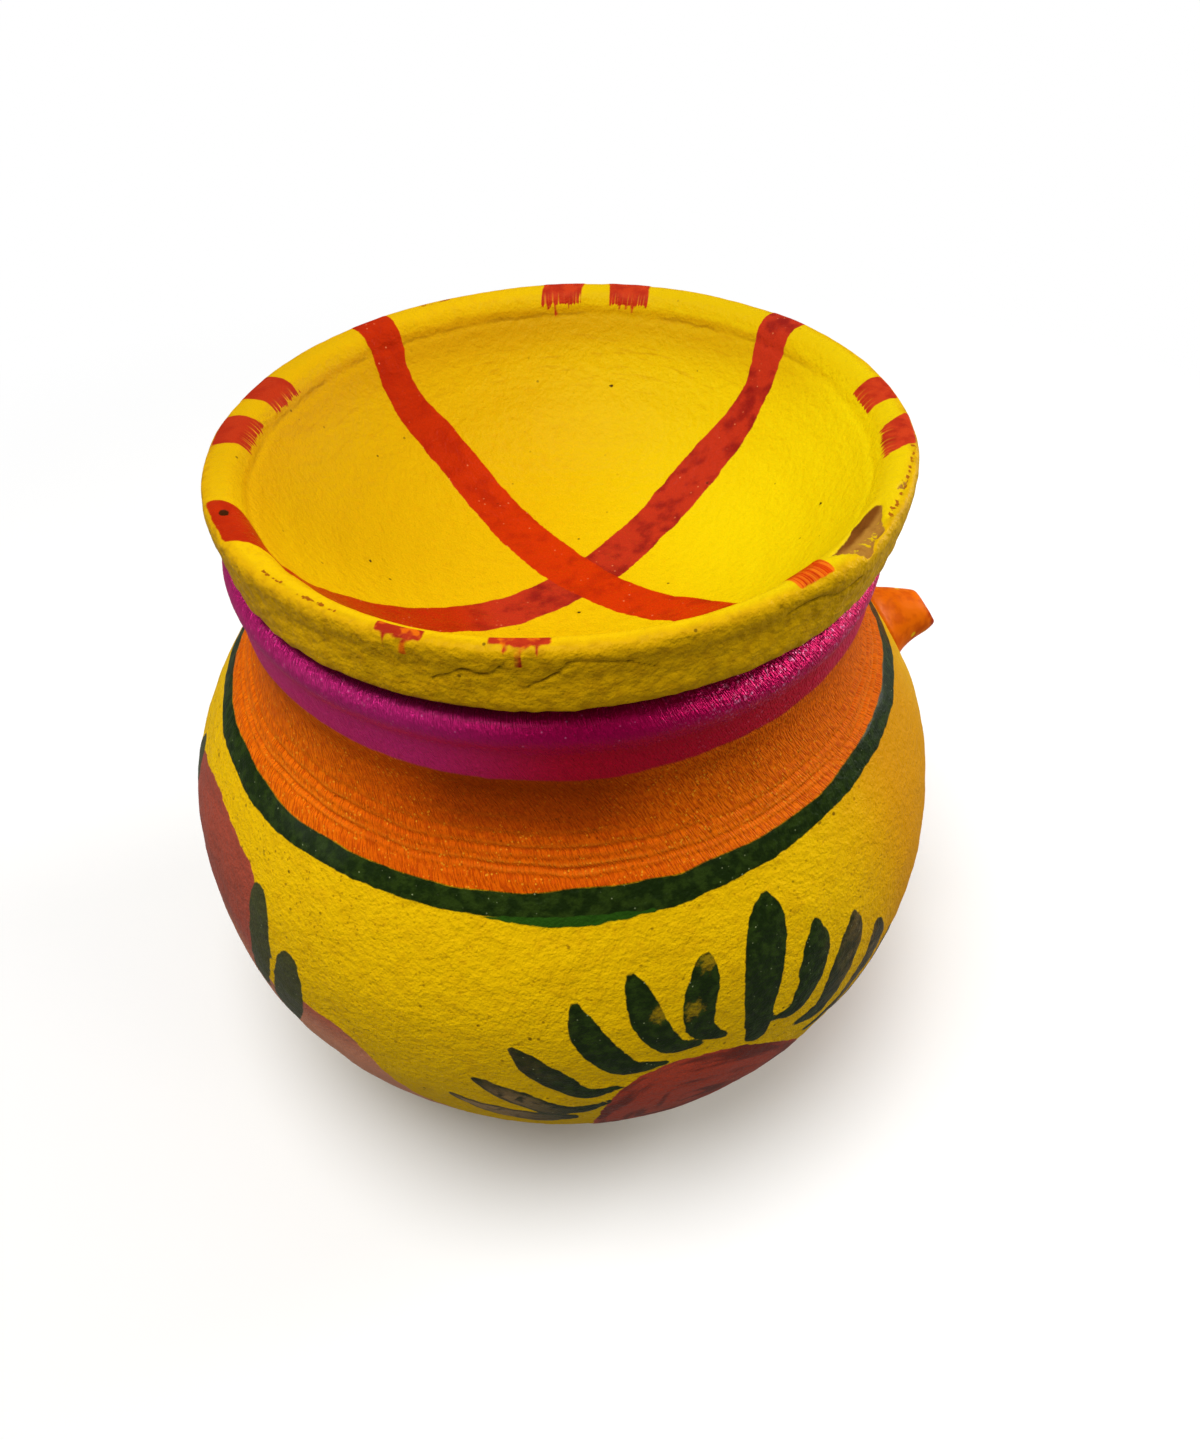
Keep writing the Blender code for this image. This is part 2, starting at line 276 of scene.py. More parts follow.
LEAVES_B = (
    ((-150, 69.6, 1.6), (-149.5, 66.5, 2.5), (-149.4, 61, 2.8), (-150.2, 55, 2.5), (-151.7, 49, 2.2)),
    ((-142.9, 61.6, 2.1), (-143.3, 58.5, 2.9), (-143.8, 55, 3.2), (-145, 50, 3.2), (-147, 45, 2.8)),
    ((-181, 70.7, 2.2), (-182, 66, 3.6), (-183.5, 59, 2.6)),
    ((-189, 63.4, 1.4), (-190, 58, 3.4), (-192, 50, 2.2)),
)
DOME_B = ((-214, 28), (-206, 40), (-199, 48), (-190, 54), (-181, 70), (-173, 73.5), (-166, 74.6),
          (-159, 73.5), (-151, 70.3), (-150, 62), (-149, 54), (-147, 46), (-144, 46), (-142.5, 52),
          (-141.1, 54.1), (-134, 52.3), (-131.3, 48.5), (-125.7, 35.2), (-120, 28))
MOTIF_TURNS_A = (0.0, 194.0)
MOTIF_TURNS_B = (0.0, 202.0)
print(len(LEAVES_A) + len(LEAVES_B), "leaves are painted", len(MOTIF_TURNS_A), "times")

# %% [markdown]
# ## Laying the ornament on the pot
# A knot's azimuth and height are turned into a place on the pot's outside, and distances are taken from
# there. A dome is closed at the top by its edge and cut off level below, so its distance changes sign
# under the edge. Only the outside is painted: the outside is what lies near the outline, the foot's rim
# and the lip.

# %% Distances to leaves and domes
OUTER_SKIN = 2.0
FOOT_EDGE_Z = 3.0
FACING_DOWN = 0.2
LIP_MARGIN = 0.2
DOME_STEPS = 24
DOME_FOOT_MARGIN = 1.0

pot_points, pot_normals = places_of(pot)
azimuth, radius = round_the_axis(pot_points)
height = pot_points[:, 2]
outer = radius > np.interp(height, outside_z, outside_r) - OUTER_SKIN
outer |= (height < FOOT_EDGE_Z) & (pot_normals[:, 2] < FACING_DOWN)
outer |= height > MOUTH_Z + LIP_MARGIN


def on_pot(azimuths, heights):
    """Places on the pot's outside, in mm."""
    out = np.interp(heights, outside_z, outside_r)
    angle = np.radians(azimuths)
    return np.column_stack([out * np.cos(angle), out * np.sin(angle), heights])


def leaf_distance(knots, turned):
    line = curve_through(knots)
    return stroke_distance(pot_points, on_pot(line[:, 0] + turned, line[:, 1]), line[:, 2])


def dome_distance(edge, turned):
    """Distance from a dome's upper edge, below 0 under it."""
    line = curve_through(edge, DOME_STEPS)
    away = stroke_distance(pot_points, on_pot(line[:, 0] + turned, line[:, 1]), np.zeros(len(line)))
    first, last = edge[0][0], edge[-1][0]
    along = (azimuth - turned - first) % 360 + first
    under = (along < last) & (height < np.interp(along, line[:, 0], line[:, 1]))
    away = np.where(under, -away, away)
    return np.maximum(away, edge[0][1] + DOME_FOOT_MARGIN - height)


motifs = [(LEAVES_A, DOME_A, turned) for turned in MOTIF_TURNS_A]
motifs += [(LEAVES_B, DOME_B, turned) for turned in MOTIF_TURNS_B]
leaf = nearest(leaf_distance(knots, turned) for leaves, edge, turned in motifs for knots in leaves)
dome = nearest(dome_distance(edge, turned) for leaves, edge, turned in motifs)
keep(pot, leaf=leaf, dome=dome, outer=outer)
print("leaves cover", int((leaf < 0).sum()), "vertices and domes", int((dome < 0).sum()))

# %% [markdown]
# ## Bands on the shoulder
# While the pot turned on a hand wheel, a brush held still left a green ring, an orange neck and a purple
# collar. A hand never holds quite still, so each edge rises and falls a little round the pot. A band
# needs only its two edges, so it is measured by height. Knots are (azimuth, height). A sliver of fresher
# green lies under the ring, and two leaves have worn spots.

# %% Band edges
RING_LOW = ((-180, 79.6), (-164, 79.3), (-150, 79.4), (-114, 80.2), (-108, 79.7), (-88, 79.9), (-55, 81.3),
            (0, 80.6), (90, 80), (180, 79.6))
RING_HIGH = ((-180, 82.8), (-144, 82.4), (-100, 83.2), (-49, 84), (0, 83.5), (90, 83), (180, 82.8))
COLLAR_LOW = ((-180, 99.5), (-100, 99.4), (-45, 100.6), (0, 99.8), (90, 99.3), (180, 99.5))
SLIVER = ((-114, 80.2, 0.3), (-106, 79.8, 0.7), (-99, 79.8, 0.8), (-90, 80.0, 0.4))
WORN = ((-90.6, 65.4, 1.3), (-86.4, 64.6, 1.2), (-83.6, 71.8, 1.2))
HAND_SHAKE = 0.35
HAND_SHAKE_SIZE = 9.0


def cloud(points, size, octaves=2):
    """Smooth noise of about -1 to 1 at points in mm, with features of that size in mm."""
    return np.array([noise.fractal(Vector(p) / size, 1.0, 2.0, octaves) for p in points])


wander = HAND_SHAKE * cloud(pot_points, HAND_SHAKE_SIZE)


def above_edge(knots):
    """How far each vertex lies above a band's edge."""
    return height - np.interp(azimuth, [a for a, z in knots], [z for a, z in knots]) - wander


ring_low = above_edge(RING_LOW)
ring_high = above_edge(RING_HIGH)
sliver = leaf_distance(SLIVER, 0.0)
worn = nearest(stroke_distance(pot_points, on_pot([a], [z]), [size]) for a, z, size in WORN)
keep(pot, ring_low=ring_low, ring_high=ring_high, collar=above_edge(COLLAR_LOW), sliver=sliver, worn=worn)
print("ring is", round(float(np.mean(ring_low - ring_high)), 2), "mm tall")

# %% [markdown]
# ## Relief of the pot
# Fired clay is never as smooth as its outline. Broad lumps come from the hands, small ones from grit in
# the clay. The collar is smoother than the belly, so its lumps are lower, and the foot is flat so that
# the pot stands. A rib held on the shoulder leaves a few sharp rings. Above each ring the paint gets a
# paler band, a painted highlight; no ridge is pushed into the surface.

# %% Lumps and potter's rings
LUMPS = ((24.0, 0.40), (7.0, 0.13), (2.6, 0.085))
INSIDE_LUMPS = ((20.0, 0.3),)
COLLAR_LUMP_SHARE = 0.45
COLLAR_MARGIN = 2.0
FOOT_FLAT_Z = 0.5
FOOT_LUMPY_Z = 6.0
SHOULDER_RINGS = ((84.5, 0.34), (85.4, 0.60), (86.3, 0.18), (87.5, 0.42), (89.3, 0.20), (91.4, 0.10))
RING_WIDTH = 0.30
RING_STRENGTH = 0.7
RING_UNEVEN = 0.8
RING_UNEVEN_SIZE = 16.0
# Where the paler band above each ring lies: a painted highlight, kept for the paint only.
RIDGE_HIGHLIGHT_ABOVE = 0.5
RIDGE_HIGHLIGHT_WIDTH = 0.22
RIDGE_HIGHLIGHT_GAIN = 2.0


def lumpy(points, lumps):
    """Lumps given as (size, height) pairs in mm."""
    return sum(high * cloud(points, size) for size, high in lumps)


def soft_step(low, high, values):
    share = np.clip((values - low) / (high - low), 0, 1)
    return share * share * (3 - 2 * share)


def bell(distance, width):
    """1 at no distance, falling off over that width in mm."""
    return np.exp(-(distance / width) ** 2)


lump_share = np.where(height > COLLAR_FOOT_Z - COLLAR_MARGIN, COLLAR_LUMP_SHARE, 1.0)
lump_share = lump_share * soft_step(FOOT_FLAT_Z, FOOT_LUMPY_Z, height)
ring_strength = RING_STRENGTH + RING_UNEVEN * cloud(pot_points, RING_UNEVEN_SIZE)
rings = np.zeros(len(pot_points))
ridge = np.zeros(len(pot_points))
for ring_height, groove in SHOULDER_RINGS:
    rings -= groove * ring_strength * bell(height - ring_height + wander, RING_WIDTH)
    ridge += groove * ring_strength * bell(height - ring_height - RIDGE_HIGHLIGHT_ABOVE + wander, RIDGE_HIGHLIGHT_WIDTH)
# The ridge highlight is kept on the mesh for the paint only, as a painted highlight.
keep(pot, ridge=np.clip(RIDGE_HIGHLIGHT_GAIN * ridge, 0, 1) * outer)
push = lump_share * lumpy(pot_points, LUMPS) + rings
print("deepest ring", round(float(rings.min()), 2), "mm")

# %% [markdown]
# ## Paint that stands up, and the hole behind the spout
# Thick paint stands up from the wall by a tenth of a mm. A Displace modifier could push the surface by
# one texture. Here all relief is added up in numpy, so that the distances of the painting take part in
# it, and every vertex is then pushed along its normal. Inside the pot, behind the spout, a dark hole
# shows. The wall only sinks in there and is not cut through, and the material paints it dark as painted
# shade.

# %% Push the pot's surface
PAINT_THICK = 0.13
PAINT_EDGE = 0.35
DOME_THICK_SHARE = 0.7
RING_THICK_SHARE = 0.8
RING_EDGE = 0.3
DRAIN_Z = 71.5
DRAIN_R = 2.2
DRAIN_DEPTH = 3.5
DRAIN_EDGE = (0.4, -0.6)

thick = soft_step(PAINT_EDGE, -PAINT_EDGE, leaf)
thick = np.maximum(thick, DOME_THICK_SHARE * soft_step(PAINT_EDGE, -PAINT_EDGE, dome))
ring_paint = RING_THICK_SHARE * soft_step(-RING_EDGE, RING_EDGE, ring_low)
thick = np.maximum(thick, ring_paint * soft_step(RING_EDGE, -RING_EDGE, ring_high))
push = np.where(outer, push + PAINT_THICK * thick, lumpy(pot_points, INSIDE_LUMPS))
drain = np.hypot(pot_points[:, 1], height - DRAIN_Z) - DRAIN_R
drain = np.where(outer | (pot_points[:, 0] < 0), FAR, drain)
push -= DRAIN_DEPTH * soft_step(*DRAIN_EDGE, drain)
keep(pot, drain=drain)
set_places(pot, pot_points + pot_normals * push[:, None])
print("relief of the pot from", round(float(push.min()), 2), "to", round(float(push.max()), 2), "mm")

# %% [markdown]
# ## The spout
# A small cone of clay with a hole, stuck on the upper belly. Its outline runs up the bore, over the tip
# and down the outside to a stub that stays hidden in the belly. It is turned upright about its own axis,
# like the pot, because a scaled cylinder would have neither the bore nor the rounded lip.

# %% Spout outline
SPOUT_LENGTH = 8.2
SPOUT_ROOT_R = 6.3
SPOUT_TIP_R = 3.8
SPOUT_BORE_R = 2.2
SPOUT_STUB = 8.0


def spout_wall(reach):
    return SPOUT_ROOT_R + (SPOUT_TIP_R - SPOUT_ROOT_R) * reach / SPOUT_LENGTH


spout_outline = [(0, -2.0), (1.4, -2.0), (SPOUT_BORE_R, -1.6), (SPOUT_BORE_R, 3), (SPOUT_BORE_R, 6.4)]
spout_outline += [(2.4, 7.8), (2.9, SPOUT_LENGTH), (3.4, 8.1), (SPOUT_TIP_R, 7.5)]
reaches = (6.4, 5, 4, 3, 2, 1, 0, -1, -2, -3, -4.5, -6, -SPOUT_STUB)
spout_outline += [(spout_wall(reach), reach) for reach in reaches]
spout_outline += [(6, -SPOUT_STUB), (0, -SPOUT_STUB)]
spout = turn("spout_cone", spout_outline, steps=24, levels=2)

# %% [markdown]
# ## Setting the spout on the belly
# The tip is slanted, the cone is pitched up a little, and its root is flared out where it comes near the
# belly, as wet clay is when a finger works it into the corner. A ring laid into the corner would show a
# seam that the flared cone doesn't have. Small dents keep it from looking machined.

# %% Place and flare the spout
SPOUT_ROOT_Z = 72.5
SPOUT_PITCH = math.radians(12.0)
TIP_SLANT = 0.8 * math.tan(math.radians(24.0))
SLANT_FROM = 2.0
OUTER_WALL_R = 3.0
STUB_MARGIN = 0.5
FLARE = 0.9
FLARE_REACH = 1.5
FLARE_FULL = 4.0
FLARE_END = SPOUT_LENGTH - 1
DENTS = ((6.0, 0.16), (2.0, 0.03))
DENTS_FROM_R = 2.6

points, normals = places_of(spout)
across = np.hypot(points[:, 0], points[:, 1])
points[:, 2] -= TIP_SLANT * points[:, 1] * soft_step(SLANT_FROM, SPOUT_LENGTH, points[:, 2])
forward = np.array([math.cos(SPOUT_PITCH), 0, math.sin(SPOUT_PITCH)])
upward = np.array([-math.sin(SPOUT_PITCH), 0, math.cos(SPOUT_PITCH)])
sideways = np.array([0, 1, 0])
root = on_pot([0.0], [SPOUT_ROOT_Z])[0]


def pitched(values, start):
    """Upright directions or places, turned to point out of the belly from a start."""
    return start + values[:, 2:3] * forward + values[:, 0:1] * sideways + values[:, 1:2] * upward


placed = pitched(points, root)
above_belly = np.hypot(placed[:, 0], placed[:, 1]) - np.interp(placed[:, 2], outside_z, outside_r)
outer_wall = (across > OUTER_WALL_R) & (points[:, 2] > STUB_MARGIN - SPOUT_STUB)
flare = np.where(outer_wall, FLARE * np.exp(-np.maximum(above_belly, 0) / FLARE_REACH), 0)
flare *= soft_step(FLARE_END, FLARE_FULL, points[:, 2])
points[:, :2] *= (1 + flare / np.maximum(across, 1))[:, None]
placed = pitched(points, root)
dents = lumpy(placed, DENTS) * (across > DENTS_FROM_R)
placed += pitched(normals, 0.0) * dents[:, None]
set_places(spout, placed)
keep(spout, above_belly=above_belly, reach=points[:, 2], across=across)
print("spout tip at", round(float(placed[:, 0].max()), 1), "mm from the axis")

# %% [markdown]
# ## Splitting off the luting
# The flared root is the luting, the wet clay that joins spout and pot. The CAD model has it as a piece of
# its own, so its faces are selected by their height above the belly and separated, as one would with P in
# edit mode.

# %% Split off the luting
LUTING_EDGE = 1.6

bpy.ops.object.select_all(action="DESELECT")
spout.select_set(True)
bpy.context.view_layer.objects.active = spout
bpy.ops.object.mode_set(mode="EDIT")
bpy.ops.mesh.select_mode(type="FACE")
bpy.ops.mesh.select_all(action="DESELECT")
bpy.ops.object.mode_set(mode="OBJECT")
for face in spout.data.polygons:
    corners = list(face.vertices)
    face.select = bool(outer_wall[corners].all() and above_belly[corners].max() < LUTING_EDGE)
bpy.ops.object.mode_set(mode="EDIT")
bpy.ops.mesh.separate(type="SELECTED")
bpy.ops.object.mode_set(mode="OBJECT")
luting = [o for o in bpy.context.selected_objects if o != spout][0]
luting.name = "finger_luting"
for piece in (spout, luting):
    bpy.context.view_layer.objects.active = piece
    bpy.ops.object.mode_set(mode="EDIT")
    bpy.ops.mesh.select_all(action="SELECT")
    bpy.ops.mesh.normals_make_consistent(inside=False)
    bpy.ops.object.mode_set(mode="OBJECT")
print("spout", len(spout.data.polygons), "faces and luting", len(luting.data.polygons))

# %% [markdown]
# ## The dish lid
# The lid is a shallow thrown dish with a flat rim, a short outer wall and a bowl that sinks into the
# pot's neck. Its outline starts at the middle of the bowl, runs out over the rim, down the wall and back
# under the bowl. It is turned in more steps than the pot, because its rim is seen closest. Heights are
# measured from the top of the rim, so that the whole dish can be leaned on its seat at the end.

# %% Dish outline
BOWL_RADII = (0, 3, 6, 9, 12, 15, 18, 21, 24, 27, 30, 32.5, 35, 37, 39, 40.7, 42.2, 43.4, 44.4)


def bowl_z(r):
    return (BOWL_DEPTH - RIM_ROUND) * (r / BOWL_R) ** BOWL_FULLNESS - BOWL_DEPTH


bowl = [(r, bowl_z(r)) for r in BOWL_RADII]
rim = [(45.3, -1.15), (46.0, -0.5), (46.9, -0.1), (47.9, 0), (48.9, -0.03), (49.7, -0.3), (50.15, -0.95)]
wall = [(LID_R, -2.0), (50.1, -3.4), (49.8, -5.0), (49.5, -6.6), (49.2, -8.2), (48.8, -9.4)]
under = [(47.5, -SKIRT_DROP), (44.6, -SKIRT_DROP), (42.4, -10.8), (40.8, -12.9), (38.2, -15.7), (34, -20)]
under += [(29, -23.6), (23, -26.2), (16, -27.9), (8, -28.5), (0, -28.6)]
lid = turn("thrown_lid", bowl + rim + wall + under, steps=120, levels=2)
top_r = np.array([r for r, z in bowl + rim])
top_z = np.array([z for r, z in bowl + rim])

# %% [markdown]
# ## Ornament on the lid
# Two broad red strokes cross in the bowl, each run from rim to rim, and pairs of short dashes sit on the
# rim. Strokes are (x, y, half-width) seen from above. Dashes are (first and last azimuth, first and last
# place across the rim in mm from the bowl's edge, slant in degrees per mm, and how ragged the ends are).
# Wet paint ran on from some dashes, and drips are short narrow dashes. Chips, flecks and pits are
# (azimuth, radius), cracks (azimuth, z).

# %% Strokes, dashes, chips and cracks
STROKES = (
    ((-24, 46.5, 3.2), (-22, 42.3, 3.3), (-20.6, 39.7, 3.1), (-20.4, 38, 2.8), (-19.8, 35.9, 2.8),
     (-18.3, 33.5, 3.0), (-15.2, 30.6, 3.4), (-11.6, 25.3, 3.6), (-8.3, 18, 3.6), (-5.5, 11, 3.8),
     (-3, 5.4, 3.9), (0.2, -1.5, 4.0), (3.2, -6.5, 3.7), (6.1, -10.6, 3.6), (9.6, -15, 3.5),
     (13.8, -19.5, 3.4), (17, -27, 3.3), (19, -35, 3.1), (20.8, -41.5, 2.9), (22, -44.5, 2.7)),
    ((45, 23, 3.3), (41.7, 21.4, 3.2), (39.6, 19.8, 3.0), (38.1, 18.2, 2.7), (36.6, 16.9, 2.6),
     (34, 15.7, 2.9), (30.8, 14.7, 3.4), (27, 13.4, 3.8), (21.6, 10.4, 3.9), (16.2, 6.5, 3.6),
     (11, 2.7, 3.7), (3.2, -3, 3.8), (-4.1, -6.7, 3.7), (-9.3, -8.7, 3.7), (-14.7, -9.9, 3.8),
     (-20.2, -11.0, 3.9), (-25.2, -12.5, 4.0), (-30, -14.6, 4.2), (-33.4, -16.6, 3.9), (-37.2, -19.0, 2.0),
     (-39.9, -18.0, 1.0), (-41.7, -15.8, 0.9), (-44.2, -12.4, 3.2), (-46.4, -10.2, 4.5), (-48.4, -9.0, 4.6)),
)
DASHES = (
    (158, 167.4, -0.9, 4.4, 0.3, 1.0), (143.6, 152.0, -1.3, 4.5, 0.2, 1.0),
    (72, 80.4, -0.4, 4.3, -0.2, 0.5), (57.9, 66.4, -0.5, 4.3, 0.2, 0.5),
    (-8.6, -0.5, -0.5, 4.4, 0.3, 0.35), (-24.6, -15.0, 0.3, 4.6, 1.0, 0.35),
    (-112.6, -103.8, 1.9, 4.0, 0.0, 0.0), (-129.3, -121.9, 2.5, 4.5, 0.0, 0.0),
)
DRIPS = (
    (-109.4, -107.0, 3.2, 4.4), (-108.7, -107.9, 4.2, 5.7), (-110.6, -110.1, 3.2, 4.8),
    (-105.9, -105.5, 3.2, 4.9), (-126.2, -123.4, 3.6, 4.8), (-125.2, -124.2, 4.6, 5.9),
    (-127.7, -127.2, 3.6, 5.0), (77.4, 78.2, -3.1, 0.5), (74.7, 75.2, -1.6, 0.5),
    (79.3, 79.8, -1.5, 0.5), (60.6, 61.3, -2.4, 0.5), (63.4, 63.9, -1.8, 0.5), (62.0, 62.4, -1.5, 0.5),
)
CHIP = ((-41.2, 47.1), (-45.5, 48.2), (-47.4, 49.4), (-50.6, 49.2), (-52.8, 50), (-54.3, 50), (-55.5, 48.6),
        (-57.9, 46.9), (-52.5, 46.3), (-47.9, 45.5), (-43.3, 45.6), (-41.3, 46.4))
SMALL_CHIP = ((-36.1, 47.9), (-34.1, 48.4), (-32.6, 49.1), (-35.7, 48.9))
WALL_CRACKS = (
    ((-120.9, -5.5), (-118.5, -4.5), (-116.1, -3.4), (-114, -3.8), (-111.9, -3.4), (-109.7, -1.4)),
    ((-107.7, -5.6), (-106.3, -4.7), (-104.1, -3.8), (-102.4, -2.6), (-101.4, -1.8), (-97.4, -2.1),
     (-93, -2.9), (-90, -4.3)),
    ((-70, -3.0), (-64, -2.4), (-60, -3.6), (-55, -3.0)),
    ((50, -4), (57, -3), (63, -4.5)),
    ((150, -3), (158, -4.6)),
)
RIM_FLECKS = (((-152.5, 48.6), (-147, 48.4)), ((-144, 48.8), (-140, 48.6), (-136, 48.9)),
              ((-22.2, 49.2), (-30.5, 49.1), (-35.9, 49), (-41.9, 48.8), (-44.3, 49)),
              ((100, 49), (106, 48.7)))
PITS = ((-170.8, 47.5, 0.75), (-60, 30, 0.35), (-135, 36, 0.4), (-100, 41, 0.3), (20, 28, 0.35),
        (112, 20, 0.3), (64, 37, 0.4), (-20, 38, 0.35), (175, 30, 0.3), (-95, 12, 0.3), (140, 40, 0.3))
print(len(STROKES), "strokes,", len(DASHES), "dashes and", len(DRIPS), "drips")

# %% [markdown]
# ## Laying the ornament on the lid
# A place across the rim is counted from the bowl's edge: down into the bowl it falls below 0, and it goes
# on growing down the outer wall. With it a dash can bend over the rim's edge as wet paint does.

# %% Places on the lid
TOP_SKIN = 1.5
WALL_FROM_R = 48.55
CHIP_STEPS = 10

lid_points, lid_normals = places_of(lid)
lid_azimuth, lid_radius = round_the_axis(lid_points)
drop = -lid_points[:, 2]
below = lid_points[:, 2] < np.interp(lid_radius, top_r, top_z) - TOP_SKIN
on_wall = below & (lid_radius > WALL_FROM_R)
underside = below & ~on_wall
down_bowl = lid_radius - BOWL_R - np.maximum(drop - RIM_ROUND, 0)
down_wall = lid_radius - BOWL_R + np.maximum(drop - RIM_ROUND / 2, 0) * on_wall
place_across = np.where(lid_radius < BOWL_R, down_bowl, down_wall)


def on_lid(azimuths, radii):
    """Places on the lid's upper side, in mm."""
    angle = np.radians(azimuths)
    return np.column_stack([radii * np.cos(angle), radii * np.sin(angle), np.interp(radii, top_r, top_z)])


def outline_distance(corners):
    """Distance from a closed outline on the rim, below 0 inside it."""
    ring = np.array(list(corners) + [corners[0]], float)
    shares = np.arange(CHIP_STEPS) / CHIP_STEPS
    fine = np.vstack([a + (b - a) * t for a, b in zip(ring, ring[1:]) for t in shares])
    flat = on_lid(fine[:, 0], fine[:, 1])
    away = stroke_distance(lid_points, flat, np.zeros(len(flat)))
    x, y = lid_points[:, 0], lid_points[:, 1]
    inside = np.zeros(len(x), bool)
    for (ax, ay, _), (bx, by, _) in zip(flat, np.roll(flat, -1, axis=0)):
        crosses = (ay > y) != (by > y)
        slope = (bx - ax) / (by - ay) if by != ay else 0.0
        inside ^= crosses & (x < ax + slope * (y - ay))
    return np.where(inside & ~below, -away, np.where(below, FAR, away))


print("lid has", int(on_wall.sum()), "vertices on its wall and", int(underside.sum()), "underneath")

# %% [markdown]
# ## Distances on the lid
# The strokes stop where the rim turns down. The ends of a dash towards the bowl break up into hairs, so
# each dash also keeps how ragged it is there. Cracks lie on the outer wall, which tapers in below its
# top.

# %% Distances on the lid
RIM_PAINTED = 4.3
RIM_MIDDLE = 2.3
RAGGED_LENGTH = 2.0
WALL_TAPER = 0.2
WALL_TOP = 2.0
CRACK_LIFT = 0.05


def lid_stroke(knots):
    line = curve_through(knots)
    centres = np.column_stack([line[:, :2], np.interp(np.hypot(line[:, 0], line[:, 1]), top_r, top_z)])
    away = stroke_distance(lid_points, centres, line[:, 2])
    return np.where(underside, FAR, np.maximum(away, place_across - RIM_PAINTED))


def wall_crack(knots):
    line = curve_through(knots)
    angle = np.radians(line[:, 0])
    reach = LID_R + CRACK_LIFT - WALL_TAPER * np.maximum(-line[:, 1] - WALL_TOP, 0)
    centres = np.column_stack([reach * np.cos(angle), reach * np.sin(angle), line[:, 1]])
    return stroke_distance(lid_points, centres, np.zeros(len(line)))


def rim_fleck(knots):
    line = curve_through(knots)
    return stroke_distance(lid_points, on_lid(line[:, 0], line[:, 1]), np.zeros(len(line)))


stroke_a, stroke_b = [lid_stroke(knots) for knots in STROKES]
dash = np.full(len(lid_points), FAR)
ragged = np.zeros(len(lid_points))
for first, last, near, far, slant, ends in DASHES + tuple(drip + (0.0, 0.0) for drip in DRIPS):
    middle = (first + last) / 2 + slant * (place_across - RIM_MIDDLE)
    turn_away = np.abs((lid_azimuth - middle + 180) % 360 - 180) - (last - first) / 2
    reach_away = np.abs(place_across - (near + far) / 2) - (far - near) / 2
    box = np.maximum(np.radians(turn_away) * lid_radius, reach_away)
    ragged = np.where(box < dash, ends * soft_step(near + RAGGED_LENGTH, near, place_across), ragged)
    dash = np.minimum(dash, box)
dash = np.where(underside, FAR, dash)
chip = nearest(outline_distance(corners) for corners in (CHIP, SMALL_CHIP))
crack = nearest(wall_crack(knots) for knots in WALL_CRACKS)
fleck = nearest(rim_fleck(knots) for knots in RIM_FLECKS)
pit = nearest(stroke_distance(lid_points, on_lid([a], [r]), [size]) for a, r, size in PITS)
keep(lid, stroke_a=stroke_a, stroke_b=stroke_b, across=place_across, dash=dash, ragged=ragged)
keep(lid, chip=chip, crack=crack, fleck=fleck, pit=pit, underside=underside)
brushed_on = nearest((stroke_a, stroke_b, dash))
print("strokes and dashes cover", int((brushed_on < 0).sum()), "vertices of the lid")

# %% [markdown]
# ## Relief of the lid
# The bowl keeps the slow spiral of the potter's fingers, and a faint ledge runs round below its edge. The
# wall below the rim was left rough and cracked in drying. The chip on the rim is a shallow bite with a
# broken floor, and flecks and pits are places where paint and clay flaked off.

# %% Push the lid's surface
LID_LUMPS = ((20.0, 0.22), (5.0, 0.07), (1.6, 0.03))
UNDERSIDE_LUMPS = ((12.0, 0.12),)
WALL_ROUGHNESS = ((2.8, 0.17), (1.2, 0.09))
ROUGH_FROM_R = 46.0
ROUGH_DROP = (1.2, 3.0)
FINGER_RINGS = 5.2
FINGER_DEPTH = 0.045
FINGER_R = 40.0
STROKE_THICK = 0.09
STROKE_EDGE = 0.3
CRACK_DEPTH = 0.34
CRACK_WIDTH = 0.24
LEDGE_DROP = 3.2
LEDGE_DEPTH = 0.22
LEDGE_WIDTH = 0.6
LEDGE_WANDER = 0.4
LEDGE_WANDER_SIZE = 10.0
FLECK_DEPTH = 0.18
FLECK_WIDTH = 0.4
PIT_DEPTH = 0.35
PIT_EDGE = (0.3, -0.25)
CHIP_DEPTH = 0.9
CHIP_UNEVEN = 0.35
CHIP_UNEVEN_SIZE = 1.5
CHIP_EDGE = (0.35, -0.55)

rough = lumpy(lid_points, WALL_ROUGHNESS) * (soft_step(*ROUGH_DROP, drop) * (lid_radius > ROUGH_FROM_R))
spiral = np.sin(math.tau * lid_radius / FINGER_RINGS + np.radians(lid_azimuth)) * (lid_radius < FINGER_R)
ledge = drop - LEDGE_DROP - LEDGE_WANDER * cloud(lid_points, LEDGE_WANDER_SIZE)
lid_push = lumpy(lid_points, LID_LUMPS) + rough + FINGER_DEPTH * spiral
lid_push += STROKE_THICK * soft_step(STROKE_EDGE, -STROKE_EDGE, brushed_on)
lid_push -= CRACK_DEPTH * bell(crack, CRACK_WIDTH)
lid_push -= LEDGE_DEPTH * bell(ledge, LEDGE_WIDTH) * (lid_radius < BOWL_R)
lid_push -= FLECK_DEPTH * bell(fleck, FLECK_WIDTH)
lid_push -= PIT_DEPTH * soft_step(*PIT_EDGE, pit)
lid_push = np.where(underside, lumpy(lid_points, UNDERSIDE_LUMPS), lid_push)
broken = soft_step(*CHIP_EDGE, chip) * (CHIP_DEPTH + CHIP_UNEVEN * cloud(lid_points, CHIP_UNEVEN_SIZE))
moved = lid_points + lid_normals * lid_push[:, None]
moved[:, 2] -= np.where(underside, 0, broken)
print("relief of the lid from", round(float(lid_push.min()), 2), "to", round(float(lid_push.max()), 2), "mm")

# %% [markdown]
# ## Leaning the lid
# At the front the rim isn't quite round: its edge is tucked in there, and the wall comes back out lower
# down. The dish sits a little askew on its seat: it is leaned about a point above it and shifted by less
# than a mm. This is worked into the mesh and not set on the object, which has to stay unturned at the
# origin.

